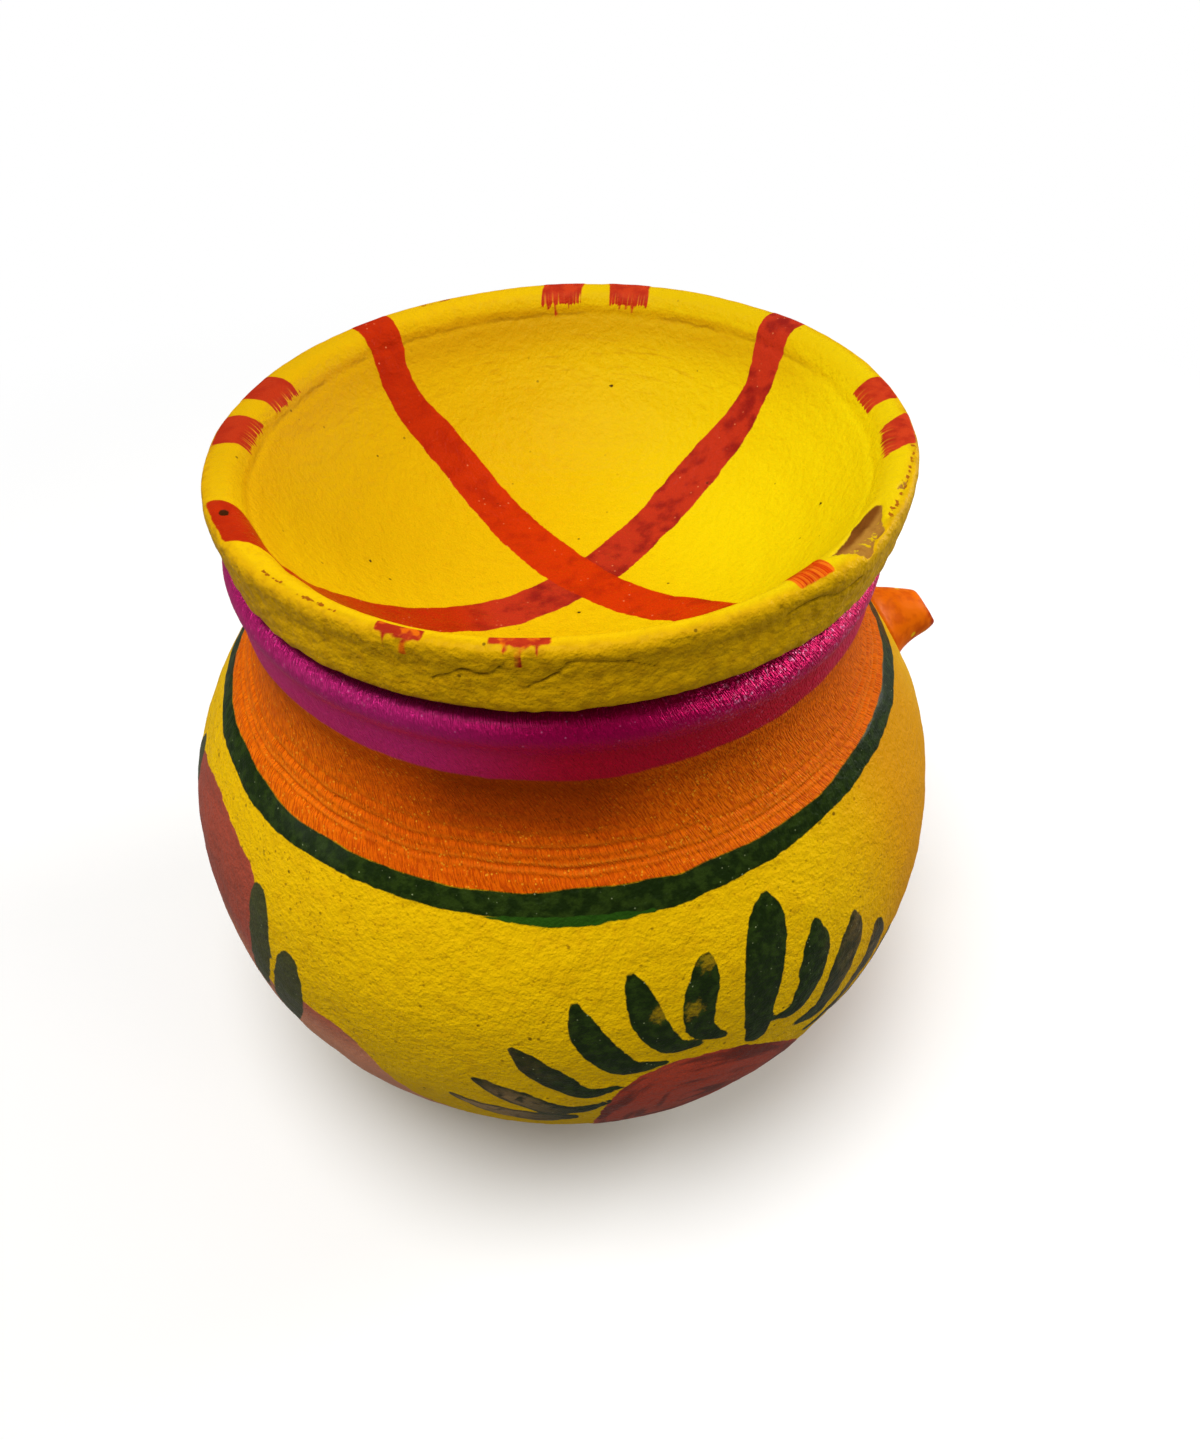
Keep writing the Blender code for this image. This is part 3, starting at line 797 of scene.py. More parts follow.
# %% Tuck in the front edge and lean the lid
TUCK = 1.5
TUCK_RADII = (45.3, 49.6)
TUCK_DROPS = (9.5, 2.5)
TUCK_LEFT = (-182, -132)
TUCK_RIGHT = (-52, -75)
LID_TOP_Z = 121.37
LID_LEAN = math.radians(1.7)
LID_LEAN_AZIMUTH = math.radians(-40.0)
LEAN_CENTRE_Z = 142.59
LID_SHIFT = (0.45, -0.1)

tuck = TUCK * soft_step(*TUCK_RADII, lid_radius) * soft_step(*TUCK_DROPS, drop)
tuck *= soft_step(*TUCK_LEFT, lid_azimuth) * soft_step(*TUCK_RIGHT, lid_azimuth)
moved[:, :2] *= 1 - np.where(underside, 0, tuck / np.maximum(lid_radius, 1))[:, None]
axle = Vector((math.sin(LID_LEAN_AZIMUTH), -math.cos(LID_LEAN_AZIMUTH), 0))
lean = np.array(Matrix.Rotation(LID_LEAN, 3, axle))
moved[:, 2] += LID_TOP_Z - LEAN_CENTRE_Z
moved = moved @ lean.T
moved[:, 2] += LEAN_CENTRE_Z
moved[:, :2] += LID_SHIFT
set_places(lid, moved)
seen = moved.min(axis=0), moved.max(axis=0)
for axis_name, low, high, cad_low, cad_high in zip("xyz", *seen, lid_low, lid_high):
    print(f"lid {axis_name} {low:.1f} to {high:.1f}, CAD {cad_low / MM:.1f} to {cad_high / MM:.1f} mm")

# %% [markdown]
# ## Mixing paint with Python sums
# A material in Blender is a set of nodes joined by wires. Long sums of nodes are hard to read as nodes.
# This small class lets a socket take part in Python sums, and each sum adds the Math nodes that it needs.

# %% Sockets that can be added and multiplied
class Wire:
    """A socket in a material, with Python's operators."""

    def __init__(self, tree, socket):
        self.tree = tree
        self.socket = socket

    def node(self, kind, settings, sockets, out=0):
        """Add a node: first its settings, then values or wires for its sockets."""
        made = self.tree.nodes.new(kind)
        for name, value in settings.items():
            setattr(made, name, value)
        for name, value in sockets.items():
            if isinstance(value, Wire):
                self.tree.links.new(value.socket, made.inputs[name])
            else:
                made.inputs[name].default_value = value
        return Wire(self.tree, made.outputs[out])

    def beside(self, name):
        """Another output of the node that this socket belongs to."""
        return Wire(self.tree, self.socket.node.outputs[name])

    def sum(self, operation, first, second):
        return self.node("ShaderNodeMath", {"operation": operation}, {0: first, 1: second})

    def __add__(self, other):
        return self.sum("ADD", self, other)

    def __radd__(self, other):
        return self.sum("ADD", other, self)

    def __sub__(self, other):
        return self.sum("SUBTRACT", self, other)

    def __rsub__(self, other):
        return self.sum("SUBTRACT", other, self)

    def __mul__(self, other):
        return self.sum("MULTIPLY", self, other)

    def __rmul__(self, other):
        return self.sum("MULTIPLY", other, self)


# %% [markdown]
# ## Masks and coats
# A mask is a number of 0 to 1 that says where a paint lies. It comes from a distance kept on the mesh, or
# from noise. A coat lays one colour over the paint below it, as far as its mask and its cover say. Faces
# could have materials of their own instead, but the edges of brushed paint are finer than faces.

# %% Masks and coats
def light_of(value):
    share = value / 255
    return share / 12.92 if share <= 0.04045 else ((share + 0.055) / 1.055) ** 2.4


def hue(red, green, blue):
    """A colour as read off a screen, 0 to 255, turned into light for a shader."""
    return light_of(red), light_of(green), light_of(blue), 1.0


def attribute(wire, name):
    return wire.node("ShaderNodeAttribute", {"attribute_name": name}, {}, out=2)


def between(value, low, high):
    """0 below low and 1 above high, soft in between; low may be the larger one."""
    return value.node("ShaderNodeMapRange", {"interpolation_type": "SMOOTHSTEP"},
                      {"Value": value, "From Min": low, "From Max": high})


def inside(distance, soft):
    """1 where a distance is below 0, with an edge that soft in mm."""
    return between(distance, soft, -soft)


def without_sign(value):
    return value.sum("ABSOLUTE", value, 0.0)


def larger(first, second):
    return first.sum("MAXIMUM", first, second)


def layer(mask, under_paint, over_paint):
    return mask.node("ShaderNodeMix", {"data_type": "RGBA"}, {0: mask, 6: under_paint, 7: over_paint}, out=2)


def coats(paint, *rows):
    """Lay coats over a paint: each row is a mask, how much of it covers, and the colour."""
    for mask, cover, over_paint in rows:
        paint = layer(mask * cover, paint, over_paint)
    return paint


# %% [markdown]
# ## Noise for clay and brush
# Clay is cloudy and speckled, and a brush leaves hairs along its way. All noise reads Object coordinates,
# so that it stays on the piece when the lid is lifted. Sizes are in mm.

# %% Noise, specks and brush hairs
FEW_SPECKS = (0.47, 0.60)
SPECK_GROUPS = 2.3
ROUND_LENGTH = 50.0


def grain(wire, size, detail=2.0):
    """Noise of 0 to 1 with features of that size."""
    return wire.node("ShaderNodeTexNoise", {}, {"Vector": wire, "Scale": 1 / (size * MM), "Detail": detail})


def specks(wire, spacing, size):
    """1 in small round spots, about one to each spacing, in loose groups."""
    near = wire.node("ShaderNodeTexVoronoi", {}, {"Vector": wire, "Scale": 1 / (spacing * MM)})
    few = between(grain(wire, SPECK_GROUPS * spacing), *FEW_SPECKS)
    return between(near * spacing, size, 0.5 * size) * few


def around(wire):
    """The angle round the axis, and the height in metres, for marks left by a brush."""
    parts = wire.node("ShaderNodeSeparateXYZ", {}, {0: wire})
    return wire.sum("ARCTAN2", parts.beside("Y"), parts), parts.beside("Z")


def streaks(wire, angle, up, wide, tall, slant=0.0):
    """Noise drawn out into brush hairs, wide across and tall upwards."""
    run = angle * ROUND_LENGTH * MM + up * slant
    where = wire.node("ShaderNodeCombineXYZ", {}, {"X": run * (1 / wide), "Y": up * (1 / tall), "Z": 0.0})
    return wire.node("ShaderNodeTexNoise", {}, {"Vector": where, "Scale": 1 / MM, "Detail": 2.0})


# %% [markdown]
# ## Starting and closing a material
# Every material starts from the Principled shader, with little mirror shine, which would wash out the
# strong colours. Relief that is finer than the mesh goes through a Bump node.

# %% Start and close a material
SHEEN = 0.03


def start(name, piece):
    """A new material on a piece: its Object coordinates, and the surface shader."""
    material = bpy.data.materials.new(name)
    material.use_nodes = True
    tree = material.node_tree
    piece.data.materials.clear()
    piece.data.materials.append(material)
    tree.nodes["Principled BSDF"].inputs["Specular IOR Level"].default_value = SHEEN
    coordinates = tree.nodes.new("ShaderNodeTexCoord")
    return Wire(tree, coordinates.outputs["Object"]), tree.nodes["Principled BSDF"]


def connect(wire, shader, sockets):
    for name, value in sockets.items():
        wire.tree.links.new(value.socket, shader.inputs[name])
    print("material of", len(wire.tree.nodes), "nodes")


def bump(wire, height, depth):
    """Fine relief below the size of the mesh, depth in mm."""
    return wire.node("ShaderNodeBump", {}, {"Height": height, "Distance": depth * MM, "Strength": 1.0})


# %% [markdown]
# ## Where each paint lies on the pot
# Each edge is moved a little by noise, as brush hairs leave it, and the worn spots let what is below show
# through. Some tints are painted light and painted shade that belong to one side of the pot, so the script
# also measures how far round a place lies, in degrees from the middle of the front. A side begins, is full,
# fades and ends at four angles, and all of them end before the back.

# %% Masks on the pot
FRONT_AZIMUTH = -80.0
BRUSH_EDGE = 0.12
BAND_EDGE = 0.1
COLLAR_EDGE = 0.25
WORN_EDGE = 0.9
WORN_COVER = 0.35
BEAD_FOOT = (COLLAR_TOP_Z - 0.8, COLLAR_TOP_Z + 0.5)

wire, shader = start("painted_pot_brushwork", pot)
angle, up = around(wire)
level = up * (1 / MM)
degrees = angle * (180 / math.pi) - FRONT_AZIMUTH
turned_by = wire.node("ShaderNodeMath", {"operation": "WRAP"}, {0: degrees, 1: 180.0, 2: -180.0})


def side(begin, full, fade, end):
    return between(turned_by, begin, full) * between(turned_by, end, fade)


right_side = side(15.0, 50.0, 90.0, 140.0)
left_side = side(-30.0, -60.0, -90.0, -140.0)
glint_side = side(-12.0, 12.0, 90.0, 140.0)
fuzz = streaks(wire, angle, up, 0.24, 1.4, slant=0.5)
edge_noise = (grain(wire, 2.2, 3.0) - 0.5) * 1.3
worn_mask = inside(attribute(wire, "worn") + (grain(wire, 0.8, 3.0) - 0.5) * 4.0, WORN_EDGE)
leaf_mask = inside(attribute(wire, "leaf") + edge_noise * 0.7, BRUSH_EDGE) * (1.0 - worn_mask * WORN_COVER)
dome_mask = inside(attribute(wire, "dome") + edge_noise, BRUSH_EDGE)
ring_mask = between(attribute(wire, "ring_low") + edge_noise * 0.5, -BAND_EDGE, BAND_EDGE)
ring_mask = ring_mask * inside(attribute(wire, "ring_high") + edge_noise * 0.3, BRUSH_EDGE)
sliver_mask = inside(attribute(wire, "sliver") + edge_noise * 0.4, BAND_EDGE)
orange_mask = between(attribute(wire, "ring_high"), -BAND_EDGE, BAND_EDGE)
collar_mask = between(attribute(wire, "collar") + edge_noise * 0.5, -COLLAR_EDGE, COLLAR_EDGE)
bead_hairs = (fuzz - 0.5) * (1.6 - 1.3 * glint_side)
bead_mask = between(level + bead_hairs * 1.2, *BEAD_FOOT)
print("masks for leaves, domes, ring, neck and collar made")

# %% [markdown]
# ## Yellow belly and orange neck
# The layers lie as they were brushed: yellow ground, orange neck, purple collar, green ring, red domes,
# then leaves. The yellow is cloudy with ochre and full of specks, and a darker ochre on its right side is
# painted shade. The neck shows brush hairs. It is painted lighter away from the front as painted light
# and darker under the collar in front as painted shade, and its paler bands above the rings and its
# golden glints are painted highlights.

# %% Yellow belly and orange neck
YELLOW = hue(242, 193, 2)
OCHRE = hue(216, 160, 4)
DIRT = hue(74, 46, 10)
YELLOW_SPECKS = (
    (1.2, 0.28, 0.5, hue(168, 116, 4)),
    (2.1, 0.36, 0.65, hue(112, 74, 6)),
    (3.4, 0.42, 0.8, DIRT),
)
BELLY_SHADE_OCHRE = hue(218, 146, 2)
BELLY_SPECK = hue(134, 92, 4)
ORANGE = hue(238, 102, 2)
ORANGE_DEEP = hue(198, 68, 2)
ORANGE_LIT = hue(255, 122, 4)
ORANGE_SHADE = hue(146, 48, 2)
ORANGE_RIDGE_HIGHLIGHT = hue(255, 140, 24)
ORANGE_GLINT = hue(255, 168, 36)
ORANGE_SPECK = hue(110, 40, 2)

paint = coats(
    YELLOW,
    (between(grain(wire, 3.0), 0.42, 0.75), 0.3, OCHRE),
    (between(grain(wire, 0.9), 0.50, 0.8), 0.5, OCHRE),
    *((specks(wire, spacing, size), cover, speck) for spacing, size, cover, speck in YELLOW_SPECKS),
    # A darker ochre on the belly's right side is painted shade.
    (side(15.0, 40.0, 50.0, 85.0), 0.9, BELLY_SHADE_OCHRE),
    (left_side * specks(wire, 0.9, 0.26), 0.6, BELLY_SPECK),
)
# The neck is painted lighter everywhere but a stretch at the front: painted light.
lit_side = between(turned_by, -18.0, 6.0) + between(turned_by, -48.0, -70.0)
# Under the collar in front the orange is darkened: painted shade.
collar_shade = between(attribute(wire, "collar"), -12.0, -7.5) * between(without_sign(turned_by + 28.0), 25.0, 8.0)
quiet = 1.0 - larger(collar_shade, right_side) * 0.85
orange = coats(
    ORANGE,
    (lit_side, 0.9, ORANGE_LIT),
    (between(fuzz, 0.42, 0.62), 0.75, ORANGE_DEEP),
    (collar_shade, 0.65, ORANGE_SHADE),
    # Paler orange above each ring is a painted highlight.
    (attribute(wire, "ridge") * between(fuzz, 0.35, 0.6), 0.8, ORANGE_RIDGE_HIGHLIGHT),
    # Golden glints on the neck are painted highlights, fewer under the collar and on the right.
    (specks(wire, 0.6, 0.2) * quiet, 0.8, ORANGE_GLINT),
    (specks(wire, 1.3, 0.25), 0.5, ORANGE_SPECK),
)
paint = layer(orange_mask, paint, orange)
print("belly and neck painted")

# %% [markdown]
# ## Purple collar
# The collar's paint is pearly. Its bead is painted lighter on the right as painted light, with pink glints
# and sparkles painted on as highlights, and a lighter violet on the left as painted light. Below the bead
# the colour is duller and redder.

# %% Purple collar
PURPLE = hue(206, 6, 92)
PURPLE_DULL = hue(206, 16, 50)
PURPLE_DARK = hue(120, 8, 50)
PURPLE_LIT = hue(246, 40, 112)
VIOLET_HIGHLIGHT = hue(236, 60, 160)
PINK_BEAD_GLINT = hue(240, 150, 200)
PINK_SIDE_GLINT = hue(250, 150, 190)
PINK_SPARKLE = hue(255, 166, 214)

hairs = streaks(wire, angle, up, 0.3, 3.0)
# Where pink glints and sparkle are painted on as highlights.
side_glint_share = (glint_side + left_side * 0.5) * (0.35 + bead_mask * 0.65)
sparkle = between(grain(wire, 0.7, 3.0), 0.58, 0.66) * bead_mask * glint_side
purple = coats(
    layer(bead_mask, PURPLE_DULL, PURPLE),
    (between(hairs, 0.45, 0.8) * (1.0 - glint_side), 0.2, PURPLE_DARK),
    # The bead's right side is painted lighter: painted light.
    (right_side, 0.6, PURPLE_LIT),
    # A lighter violet on the collar's left side is painted light.
    (side(-18.0, -50.0, -90.0, -140.0), 0.55, VIOLET_HIGHLIGHT),
    # Pink glints and sparkle on the bead are painted highlights.
    (bead_mask * specks(wire, 1.1, 0.18), 0.5, PINK_BEAD_GLINT),
    (side_glint_share * specks(wire, 0.65, 0.22), 0.7, PINK_SIDE_GLINT),
    (sparkle, 0.45, PINK_SPARKLE),
)
paint = layer(collar_mask, paint, purple)
print("collar painted")

# %% [markdown]
# ## Green ring and red domes
# The ring is a dark, nearly black green. A dome was filled with strokes that follow its edge, so its
# streaks do too. Away from the front motif the red is drier, and low on the belly the left dome is
# painted pale pink as sheen, a painted reflection.

# %% Green ring and red domes
GREEN = hue(42, 60, 14)
GREEN_DEEP = hue(25, 41, 8)
GREEN_FRESH = hue(40, 78, 14)
DOME_RED = hue(190, 68, 42)
DOME_DEEP = hue(104, 36, 24)
DOME_DRY = hue(168, 76, 56)
DOME_PINK_SHEEN = hue(232, 152, 112)

green = layer(between(grain(wire, 1.6, 3.0), 0.4, 0.65), GREEN_DEEP, GREEN)
paint = layer(ring_mask, paint, green)
paint = layer(sliver_mask, paint, GREEN_FRESH)
along_edge = {"X": attribute(wire, "dome") * 0.45, "Y": angle * 6.0, "Z": up * 120.0}
sweep = wire.node("ShaderNodeCombineXYZ", {}, along_edge)
dome_streak = wire.node("ShaderNodeTexNoise", {}, {"Vector": sweep, "Scale": 0.8, "Detail": 3.0})
front_motif = between(without_sign(turned_by), 60.0, 45.0)
dome_paint = coats(
    DOME_RED,
    (between(dome_streak, 0.44, 0.62), 0.85, DOME_DEEP),
    (1.0 - front_motif, 0.8, DOME_DRY),
    # Pale pink low on the left dome is painted sheen, a painted reflection.
    (between(level, 58.0, 44.0) * side(-25.0, -40.0, -90.0, -110.0), 0.85, DOME_PINK_SHEEN),
)
paint = layer(dome_mask, paint, dome_paint)
print("ring and domes painted")

# %% [markdown]
# ## Leaves
# The middle leaves are full of paint. Towards the ends of the crown the brush ran dry, and the green is
# thin and brown, partly thin paint and partly painted sheen. The lowest leaves are washed pale, also partly
# thin paint and partly painted sheen. Small glints on all of the glossy green are painted highlights.

# %% Leaves
LEAF_BROWN = hue(54, 48, 20)
LEAF_PALE = hue(112, 90, 48)
LEAF_WASH_SHEEN = hue(184, 144, 92)
LEAF_DULL = hue(86, 86, 50)
GREEN_GLINT = hue(170, 180, 130)

# A pale wash on the lowest leaves is partly thin paint and partly painted sheen.
leaf_wash_and_sheen = side(-19.0, -26.0, -50.0, -58.0) * between(level, 51.0, 46.0)
leaf_wash_and_sheen = leaf_wash_and_sheen * between(attribute(wire, "leaf"), -0.2, -1.0) * between(grain(wire, 1.6, 3.0), 0.28, 0.52)
thin_green_and_sheen = coats(
    layer(between(grain(wire, 2.0, 3.0), 0.35, 0.7), LEAF_BROWN, LEAF_PALE),
    (leaf_wash_and_sheen, 1.0, LEAF_WASH_SHEEN),
    (1.0 - front_motif, 0.8, LEAF_DULL),
)
# Leaves away from the front's middle turn thin and brown: partly thin paint, partly painted sheen.
thin_and_sheen_share = between(larger(0.0 - turned_by, turned_by * 1.6), 20.0, 36.0)
thin_and_sheen_share = thin_and_sheen_share * front_motif + (1.0 - front_motif) * 0.7
paint = layer(leaf_mask, paint, layer(thin_and_sheen_share * 0.8, green, thin_green_and_sheen))
# Glints on the ring and leaves are painted highlights.
paint = coats(paint, ((ring_mask + leaf_mask) * specks(wire, 1.1, 0.16), 0.6, GREEN_GLINT))
print("leaves painted")

# %% [markdown]
# ## Bare clay inside, gloss and brush marks
# Inside the pot the clay is bare. Outside, thick paint is glossier than the thin yellow, and the collar a
# little metallic. Fine bumps are grit on the belly, brush hairs on the neck and a soft grain on the
# collar's bright side.

# %% Clay, gloss and brush marks
CLAY = hue(172, 120, 46)
CLAY_DARK = hue(120, 68, 20)
HOLE_SHADE = hue(36, 18, 6)
DULL_ROUGHNESS = 0.50
GLOSS_GAIN = 0.16
COAT_ROUGHNESS = 0.28
POT_BUMP = 0.40

clay = layer(grain(wire, 3.0, 4.0), CLAY, CLAY_DARK)
# The hole behind the spout is painted dark: painted shade, as the wall is not cut through.
clay = layer(between(attribute(wire, "drain"), 0.2, -0.4), clay, HOLE_SHADE)
paint = layer(attribute(wire, "outer"), clay, paint)
gloss = between(ring_mask * 0.7 + leaf_mask + dome_mask * 0.8 + collar_mask * 0.4, 0.0, 1.0)
roughness = gloss * -GLOSS_GAIN + DULL_ROUGHNESS + (grain(wire, 1.5) - 0.5) * 0.2
grit = grain(wire, 1.3, 4.0) + 0.5 * grain(wire, 0.45)
brushed = grit * (1.0 - 0.5 * orange_mask) + fuzz * (1.2 * orange_mask)
brushed = brushed + hairs * (0.1 * collar_mask) * (1.0 - glint_side)
brushed = brushed + grain(wire, 0.9) * (collar_mask * glint_side)
pearl = collar_mask * (0.2 + bead_mask * 0.55)
connect(wire, shader, {"Base Color": paint, "Roughness": roughness, "Normal": bump(wire, brushed, POT_BUMP),
                       "Coat Weight": gloss * GLOSS_GAIN, "Metallic": pearl})
shader.inputs["Coat Roughness"].default_value = COAT_ROUGHNESS

# %% [markdown]
# ## Where each paint lies on the lid
# Rim dashes were put on with an almost dry brush, so their ends break up into hairs. Islands of yellow
# are left inside the chip. Three wide tints come from the lid's own x and y: painted light on the right,
# painted shade on the left, and painted shade on the far side of the bowl.

# %% Masks on the lid
DASH_EDGE = 0.15
CHIP_MASK_EDGE = 0.1
TOOTH = 5.0

wire, shader = start("painted_lid_brushwork", lid)
angle, up = around(wire)
rightward = wire.node("ShaderNodeSeparateXYZ", {}, {0: wire})
backward = rightward.beside("Y")
rim_place = attribute(wire, "across")
raggedness = attribute(wire, "ragged")
edge_noise = (grain(wire, 2.4, 3.0) - 0.5) * 1.1
hairs = streaks(wire, angle, up, 0.5, 30.0)
upper_stroke = inside(attribute(wire, "stroke_a") + edge_noise * 0.8, BRUSH_EDGE)
lower_stroke = inside(attribute(wire, "stroke_b") + edge_noise * 0.8, BRUSH_EDGE)
stroke_mask = larger(upper_stroke, lower_stroke)
tooth = (hairs - 0.5) * raggedness * TOOTH
dash_mask = inside(attribute(wire, "dash") + edge_noise * 0.6 + tooth, DASH_EDGE)
islands = between(grain(wire, 0.8, 3.0), 0.56, 0.62) * between(rim_place, 2.2, 3.6)
chip_mask = inside(attribute(wire, "chip") + edge_noise * 0.3, CHIP_MASK_EDGE) * (1.0 - islands)
fleck_mask = between(attribute(wire, "fleck") + (grain(wire, 0.9) - 0.5) * 2.4, 0.24, 0.0)
crack_mask = between(attribute(wire, "crack"), 0.30, 0.06)
pit_mask = between(attribute(wire, "pit") + edge_noise * 0.3, 0.12, -0.1)
wall_mask = between(rim_place + edge_noise, 2.9, 4.8)
# Painted light on the lid's right, painted shade on its left and on the bowl's far side.
far_side = between(backward, -0.005, 0.030)
lit_right = between(rightward, -0.005, 0.032)
shaded_left = between(rightward, 0.006, -0.036)
print("masks for strokes, dashes, chips and cracks made")

# %% [markdown]
# ## Yellow dish
# The dish has the same yellow, painted lighter on the right as painted light and darker on the left and
# on the far side of the bowl as painted shade. Faint rings of ochre lie on the far side. The bowl's inner
# wall, away from the right, and the ledge below the edge on the far side are darkened as painted shade.
# The rough outer wall is browner, partly its own paint and partly painted shade.

# %% Yellow dish
DISH_YELLOW = hue(232, 186, 2)
DISH_LIT = hue(236, 209, 2)
RIM_LIT = hue(220, 184, 2)
DISH_SHADED = hue(210, 163, 2)
DISH_FAR_SHADED = hue(214, 168, 2)
BOWL_SHADE = hue(196, 144, 4)
RING_OCHRE = hue(196, 142, 4)
LEDGE_SHADE = hue(158, 110, 4)
WALL_SHADED_YELLOW = hue(220, 166, 4)

inner_wall = between(rim_place, -14.0, -4.0) * between(rim_place, 0.0, -2.0)
swept = between(streaks(wire, angle, up, 7.0, 0.6), 0.54, 0.72) * far_side
swept = swept * between(rim_place, -26.0, -12.0) * between(rim_place, 0.5, -1.0)
ledge_mask = between(without_sign(rim_place + 2.6 + edge_noise * 1.6), 0.55, 0.1)
ledge_mask = ledge_mask * between(grain(wire, 9.0), 0.40, 0.56)
# The outer wall is browner: partly its own rough paint, partly painted shade.
wall_paint_and_shade = layer(between(grain(wire, 1.5, 3.0), 0.4, 0.7), WALL_SHADED_YELLOW, RING_OCHRE)
paint = coats(
    DISH_YELLOW,
    # Lighter yellow on the right is painted light; darker on the left and far side is painted shade.
    (lit_right, 1.0, DISH_LIT),
    (lit_right * between(rim_place, -1.0, 1.0), 0.7, RIM_LIT),
    (shaded_left * between(backward, -0.020, 0.008), 1.0, DISH_SHADED),
    (far_side * (1.0 - shaded_left), 0.5, DISH_FAR_SHADED),
    (between(grain(wire, 1.4, 3.0), 0.45, 0.8) * (1.0 - lit_right), 0.4, OCHRE),
    # The bowl's inner wall is darkened as painted shade.
    (inner_wall * (1.0 - lit_right), 0.5, OCHRE),
    (inner_wall * far_side, 0.6, BOWL_SHADE),
    (swept, 0.45, RING_OCHRE),
    # Brown in the ledge on the far side is painted shade.
    (ledge_mask * far_side, 0.55, LEDGE_SHADE),
    (wall_mask, 0.85, wall_paint_and_shade),
    (specks(wire, 3.6, 0.3), 0.7, DIRT),
)
print("dish painted yellow")

# %% [markdown]
# ## Red strokes and dashes
# Both strokes are mottled red, darker on the left as painted shade. The lower one was laid first, and from
# the middle to the right it is crimson. The upper one ran dry as it reached the rim in front. The dashes
# are also darker on the left as painted shade, and orange where they ran in front. Small glints on the
# strokes are painted highlights.

# %% Red strokes and dashes
RED = hue(206, 52, 4)
RED_DEEP = hue(170, 34, 6)
RED_SHADED = hue(178, 40, 8)
CRIMSON = hue(188, 50, 26)
CRIMSON_DEEP = hue(146, 30, 22)
RED_GLINT = hue(250, 150, 100)
RIM_ORANGE = hue(238, 124, 20)
DASH_RED = hue(198, 58, 24)
DASH_DEEP = hue(176, 42, 20)
DASH_SHADED = hue(164, 42, 16)
DASH_THIN = hue(224, 104, 10)
DASH_HAIR = hue(238, 170, 30)

mottled = between(grain(wire, 3.2, 3.0), 0.42, 0.70)
# The red is darker on the left: painted shade.
red = coats(RED, (between(rightward, 0.004, -0.022), 0.8, RED_SHADED), (mottled, 0.7, RED_DEEP))
crimson = layer(mottled, CRIMSON, CRIMSON_DEEP)
rim_end = upper_stroke * between(rim_place, 0.5, 2.5) * between(hairs, 0.40, 0.54)
rim_end = rim_end * between(rightward, 0.0, 0.005)
front = between(backward, -0.030, -0.040)
dashes = coats(
    layer(between(grain(wire, 2.5, 3.0), 0.4, 0.65), DASH_RED, DASH_DEEP),
    # Dashes on the left are darker: painted shade.
    (shaded_left, 0.6, DASH_SHADED),
    (front * between(grain(wire, 2.0), 0.50, 0.60), 1.0, DASH_THIN),
    (between(hairs, 0.52, 0.60) * raggedness, 1.0, DASH_HAIR),
)
paint = coats(
    paint,
    (lower_stroke, 1.0, layer(between(rightward, -0.019, -0.010), red, crimson)),
    (upper_stroke, 1.0, red),
    # Glints on the strokes are painted highlights.
    (stroke_mask * specks(wire, 1.3, 0.2), 0.5, RED_GLINT),
    (rim_end, 0.75, RIM_ORANGE),
    (dash_mask, 1.0, dashes),
)
print("strokes and dashes painted")

# %% [markdown]
# ## Bare clay on the lid
# The chip shows bare clay, darker towards the bowl. Flecks, cracks and pits hold dirt. The underside was
# never painted.

# %% Bare clay on the lid
FLECK_BROWN = hue(158, 76, 12)
CRACK_BROWN = hue(92, 60, 4)
PIT_DARK = hue(64, 30, 8)
LID_ROUGHNESS = 0.46
LID_BUMP = 0.30

bare = coats(
    CLAY,
    (between(grain(wire, 1.2, 4.0), 0.45, 0.75), 0.4, CLAY_DARK),
    (between(rim_place, 2.3, 1.5), 1.0, CLAY_DARK),
)
paint = coats(
    paint,
    (fleck_mask, 0.9, FLECK_BROWN),
    (chip_mask, 1.0, bare),
    (crack_mask, 0.8, CRACK_BROWN),
    (pit_mask, 1.0, PIT_DARK),
    (attribute(wire, "underside"), 1.0, layer(grain(wire, 4.0, 4.0), CLAY, CLAY_DARK)),
)
roughness = LID_ROUGHNESS - stroke_mask * 0.14 + chip_mask * 0.4 + (grain(wire, 1.6) - 0.5) * 0.2
grit = grain(wire, 1.4, 3.0) + 0.4 * grain(wire, 0.5) + wall_mask * 1.5 * grain(wire, 1.7, 3.0)
connect(wire, shader, {"Base Color": paint, "Roughness": roughness, "Normal": bump(wire, grit, LID_BUMP)})

# %% [markdown]
# ## Paint on the spout
# The spout was brushed with the neck's orange down on to the belly. Its tip is darker red, and yellow
# spots lie on it. The bore is painted dark: painted shade.

# %% Spout paint
SPOUT_ORANGE = hue(240, 112, 2)
BORE_SHADE = hue(40, 18, 6)
SPOUT_ROUGHNESS = 0.36
SPOUT_BUMP = 0.10

for piece, name in ((spout, "painted_spout_brushwork"), (luting, "painted_luting_brushwork")):
    wire, shader = start(name, piece)
    reach = attribute(wire, "reach") + (grain(wire, 2.0) - 0.5) * 3.0
    cloudy = between(grain(wire, 2.2, 3.0), 0.4, 0.66)
    paint = coats(
        SPOUT_ORANGE,
        (cloudy, 0.5, ORANGE_DEEP),
        (between(reach, 7.0, 8.2), 0.8, RED_DEEP),
        (specks(wire, 3.4, 0.7), 1.0, YELLOW),
        # The dark bore is painted shade.
        (between(attribute(wire, "across"), 2.9, 2.3), 1.0, BORE_SHADE),
    )
    grit = grain(wire, 1.4, 3.0)
    connect(wire, shader, {"Base Color": paint, "Roughness": SPOUT_ROUGHNESS + cloudy * 0.16,
                           "Normal": bump(wire, grit, SPOUT_BUMP)})

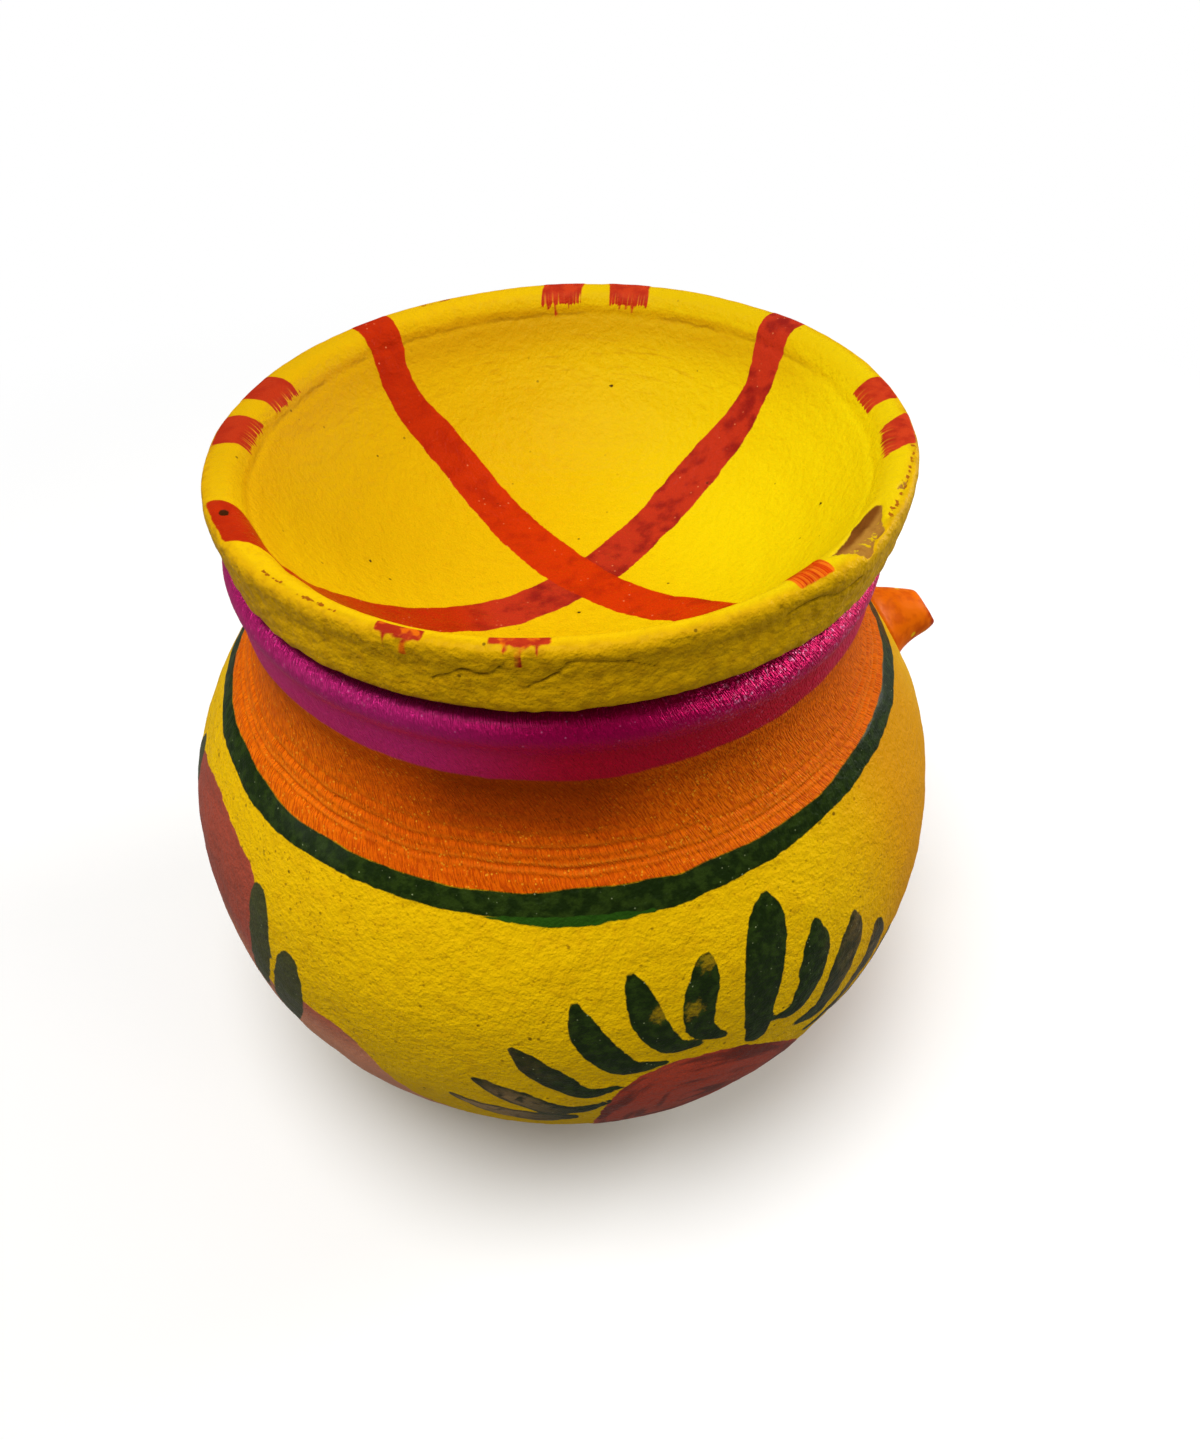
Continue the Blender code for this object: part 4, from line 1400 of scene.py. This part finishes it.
# %% [markdown]
# ## Joining the pieces to the frame
# Pot, spout and luting belong to the pot's body. The dish belongs to the lid's body and lifts off with
# it.

# %% Ride on the bodies
RIDES = (
    (pot, "pot", "pot_body", "painted_pot"),
    (spout, "pot", "spout", "painted_spout"),
    (luting, "pot", "spout_luting", "painted_luting"),
    (lid, "lid", "lid_dish", "painted_lid"),
)
for piece, body, node, slot_name in RIDES:
    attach(piece, body)
    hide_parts(node)
print("pieces", [piece.name for piece in (pot, spout, luting, lid)])

# %% [markdown]
# ## Table
# The photo was taken on a white table in soft light from above. The table looks white to the camera. To
# the light that bounces it is darker, so that the pot's underside falls into shade as it does in the
# photo. Away from the shadow the table turns into plain white paper, so that no bent backdrop is needed
# to hide its edge.

# %% Table
TABLE_SIZE = 6.0
TABLE_WHITE = hue(253, 253, 252)
TABLE_BOUNCE = hue(132, 132, 130)
TABLE_ROUGHNESS = 0.9
SHADOW_REACH = 0.17
WHITE = (1.0, 1.0, 1.0, 1.0)

bpy.ops.mesh.primitive_plane_add(size=TABLE_SIZE)
floor = bpy.context.object
floor.name = "table_top"
wire, shader = start("white_table", floor)
camera_ray = wire.node("ShaderNodeLightPath", {}, {})
connect(wire, shader, {"Base Color": layer(camera_ray, TABLE_BOUNCE, TABLE_WHITE)})
shader.inputs["Roughness"].default_value = TABLE_ROUGHNESS
away = wire.node("ShaderNodeVectorMath", {"operation": "LENGTH"}, {0: wire}, out=1)
far_off = between(away, SHADOW_REACH, 2 * SHADOW_REACH) * camera_ray
paper = wire.node("ShaderNodeEmission", {}, {"Color": WHITE, "Strength": 1.0})
table = wire.node("ShaderNodeMixShader", {}, {0: far_off, 1: Wire(wire.tree, shader.outputs[0]), 2: paper})
wire.tree.links.new(table.socket, wire.tree.nodes["Material Output"].inputs["Surface"])

# %% [markdown]
# ## Room and lights
# The room glows white to the camera and only weakly on the object, least of all in mirror shine. One wide
# light above does most of the work. A small light from the right, and weak ones from the left and the
# front, give the rims and the collar their bright sides.

# %% Room and lights
ROOM_GLOW = 0.28
SEEN_GLOW = 0.72
MIRROR_LOSS = 0.22
LIGHTS = (
    ("top_light", (-0.16, -0.10, 0.95), (0, 0, 0.06), 0.6, 6.9),
    ("front_light", (0.30, -0.34, 0.36), (0, 0, 0.07), 0.15, 0.16),
    ("right_light", (0.60, 0.10, 0.24), (0, 0, 0.07), 0.28, 2.0),
    ("left_light", (-0.62, 0.0, 0.20), (0, 0, 0.07), 0.25, 0.4),
)

world = bpy.data.worlds.new("soft_room")
bpy.context.scene.world = world
world.use_nodes = True
sky = world.node_tree.nodes["Background"]
camera_ray = Wire(world.node_tree, sky.outputs[0]).node("ShaderNodeLightPath", {}, {})
glow = camera_ray * SEEN_GLOW + ROOM_GLOW - camera_ray.beside("Is Glossy Ray") * MIRROR_LOSS
world.node_tree.links.new(glow.socket, sky.inputs["Strength"])
sky.inputs["Color"].default_value = WHITE
for name, place, target, size, power in LIGHTS:
    data = bpy.data.lights.new(name, "AREA")
    data.shape = "DISK"
    data.size = size
    data.energy = power
    lamp = bpy.data.objects.new(name, data)
    bpy.context.scene.collection.objects.link(lamp)
    lamp.location = place
    lamp.rotation_euler = (Vector(target) - Vector(place)).to_track_quat("-Z", "Y").to_euler()
print("room and", len(LIGHTS), "lights made")

# %% [markdown]
# ## Camera
# The picture was taken close, from about 45 degrees above, with the spout pointing to the right. The
# place, the aim and a very small roll were found by fitting the foot, the belly, the rims and the spout.

# %% Camera
CAMERA_PLACE = Vector((-27.66, -137.80, 202.85)) * MM
CAMERA_AIM = Vector((6.31, -1.57, 61.96)) * MM
CAMERA_ROLL = math.radians(-0.63)
CAMERA_LENS = 27.5
CAMERA_SENSOR = 36.0
CAMERA_NEAR = 0.01

camera_data = bpy.data.cameras.new("photo_camera")
camera_data.lens = CAMERA_LENS
camera_data.sensor_width = CAMERA_SENSOR
camera_data.clip_start = CAMERA_NEAR
camera = bpy.data.objects.new("photo_camera", camera_data)
bpy.context.scene.collection.objects.link(camera)
ahead = (CAMERA_AIM - CAMERA_PLACE).normalized()
right = ahead.cross(Vector((0, 0, 1))).normalized()
top = right.cross(ahead)
local_x = math.cos(CAMERA_ROLL) * right + math.sin(CAMERA_ROLL) * top
local_y = math.cos(CAMERA_ROLL) * top - math.sin(CAMERA_ROLL) * right
turned = Matrix((local_x, local_y, -ahead)).transposed().to_4x4()
camera.matrix_world = Matrix.Translation(CAMERA_PLACE) @ turned
bpy.context.scene.camera = camera
bpy.context.scene.view_settings.view_transform = "Standard"
print("camera", [round(v, 3) for v in camera.location])
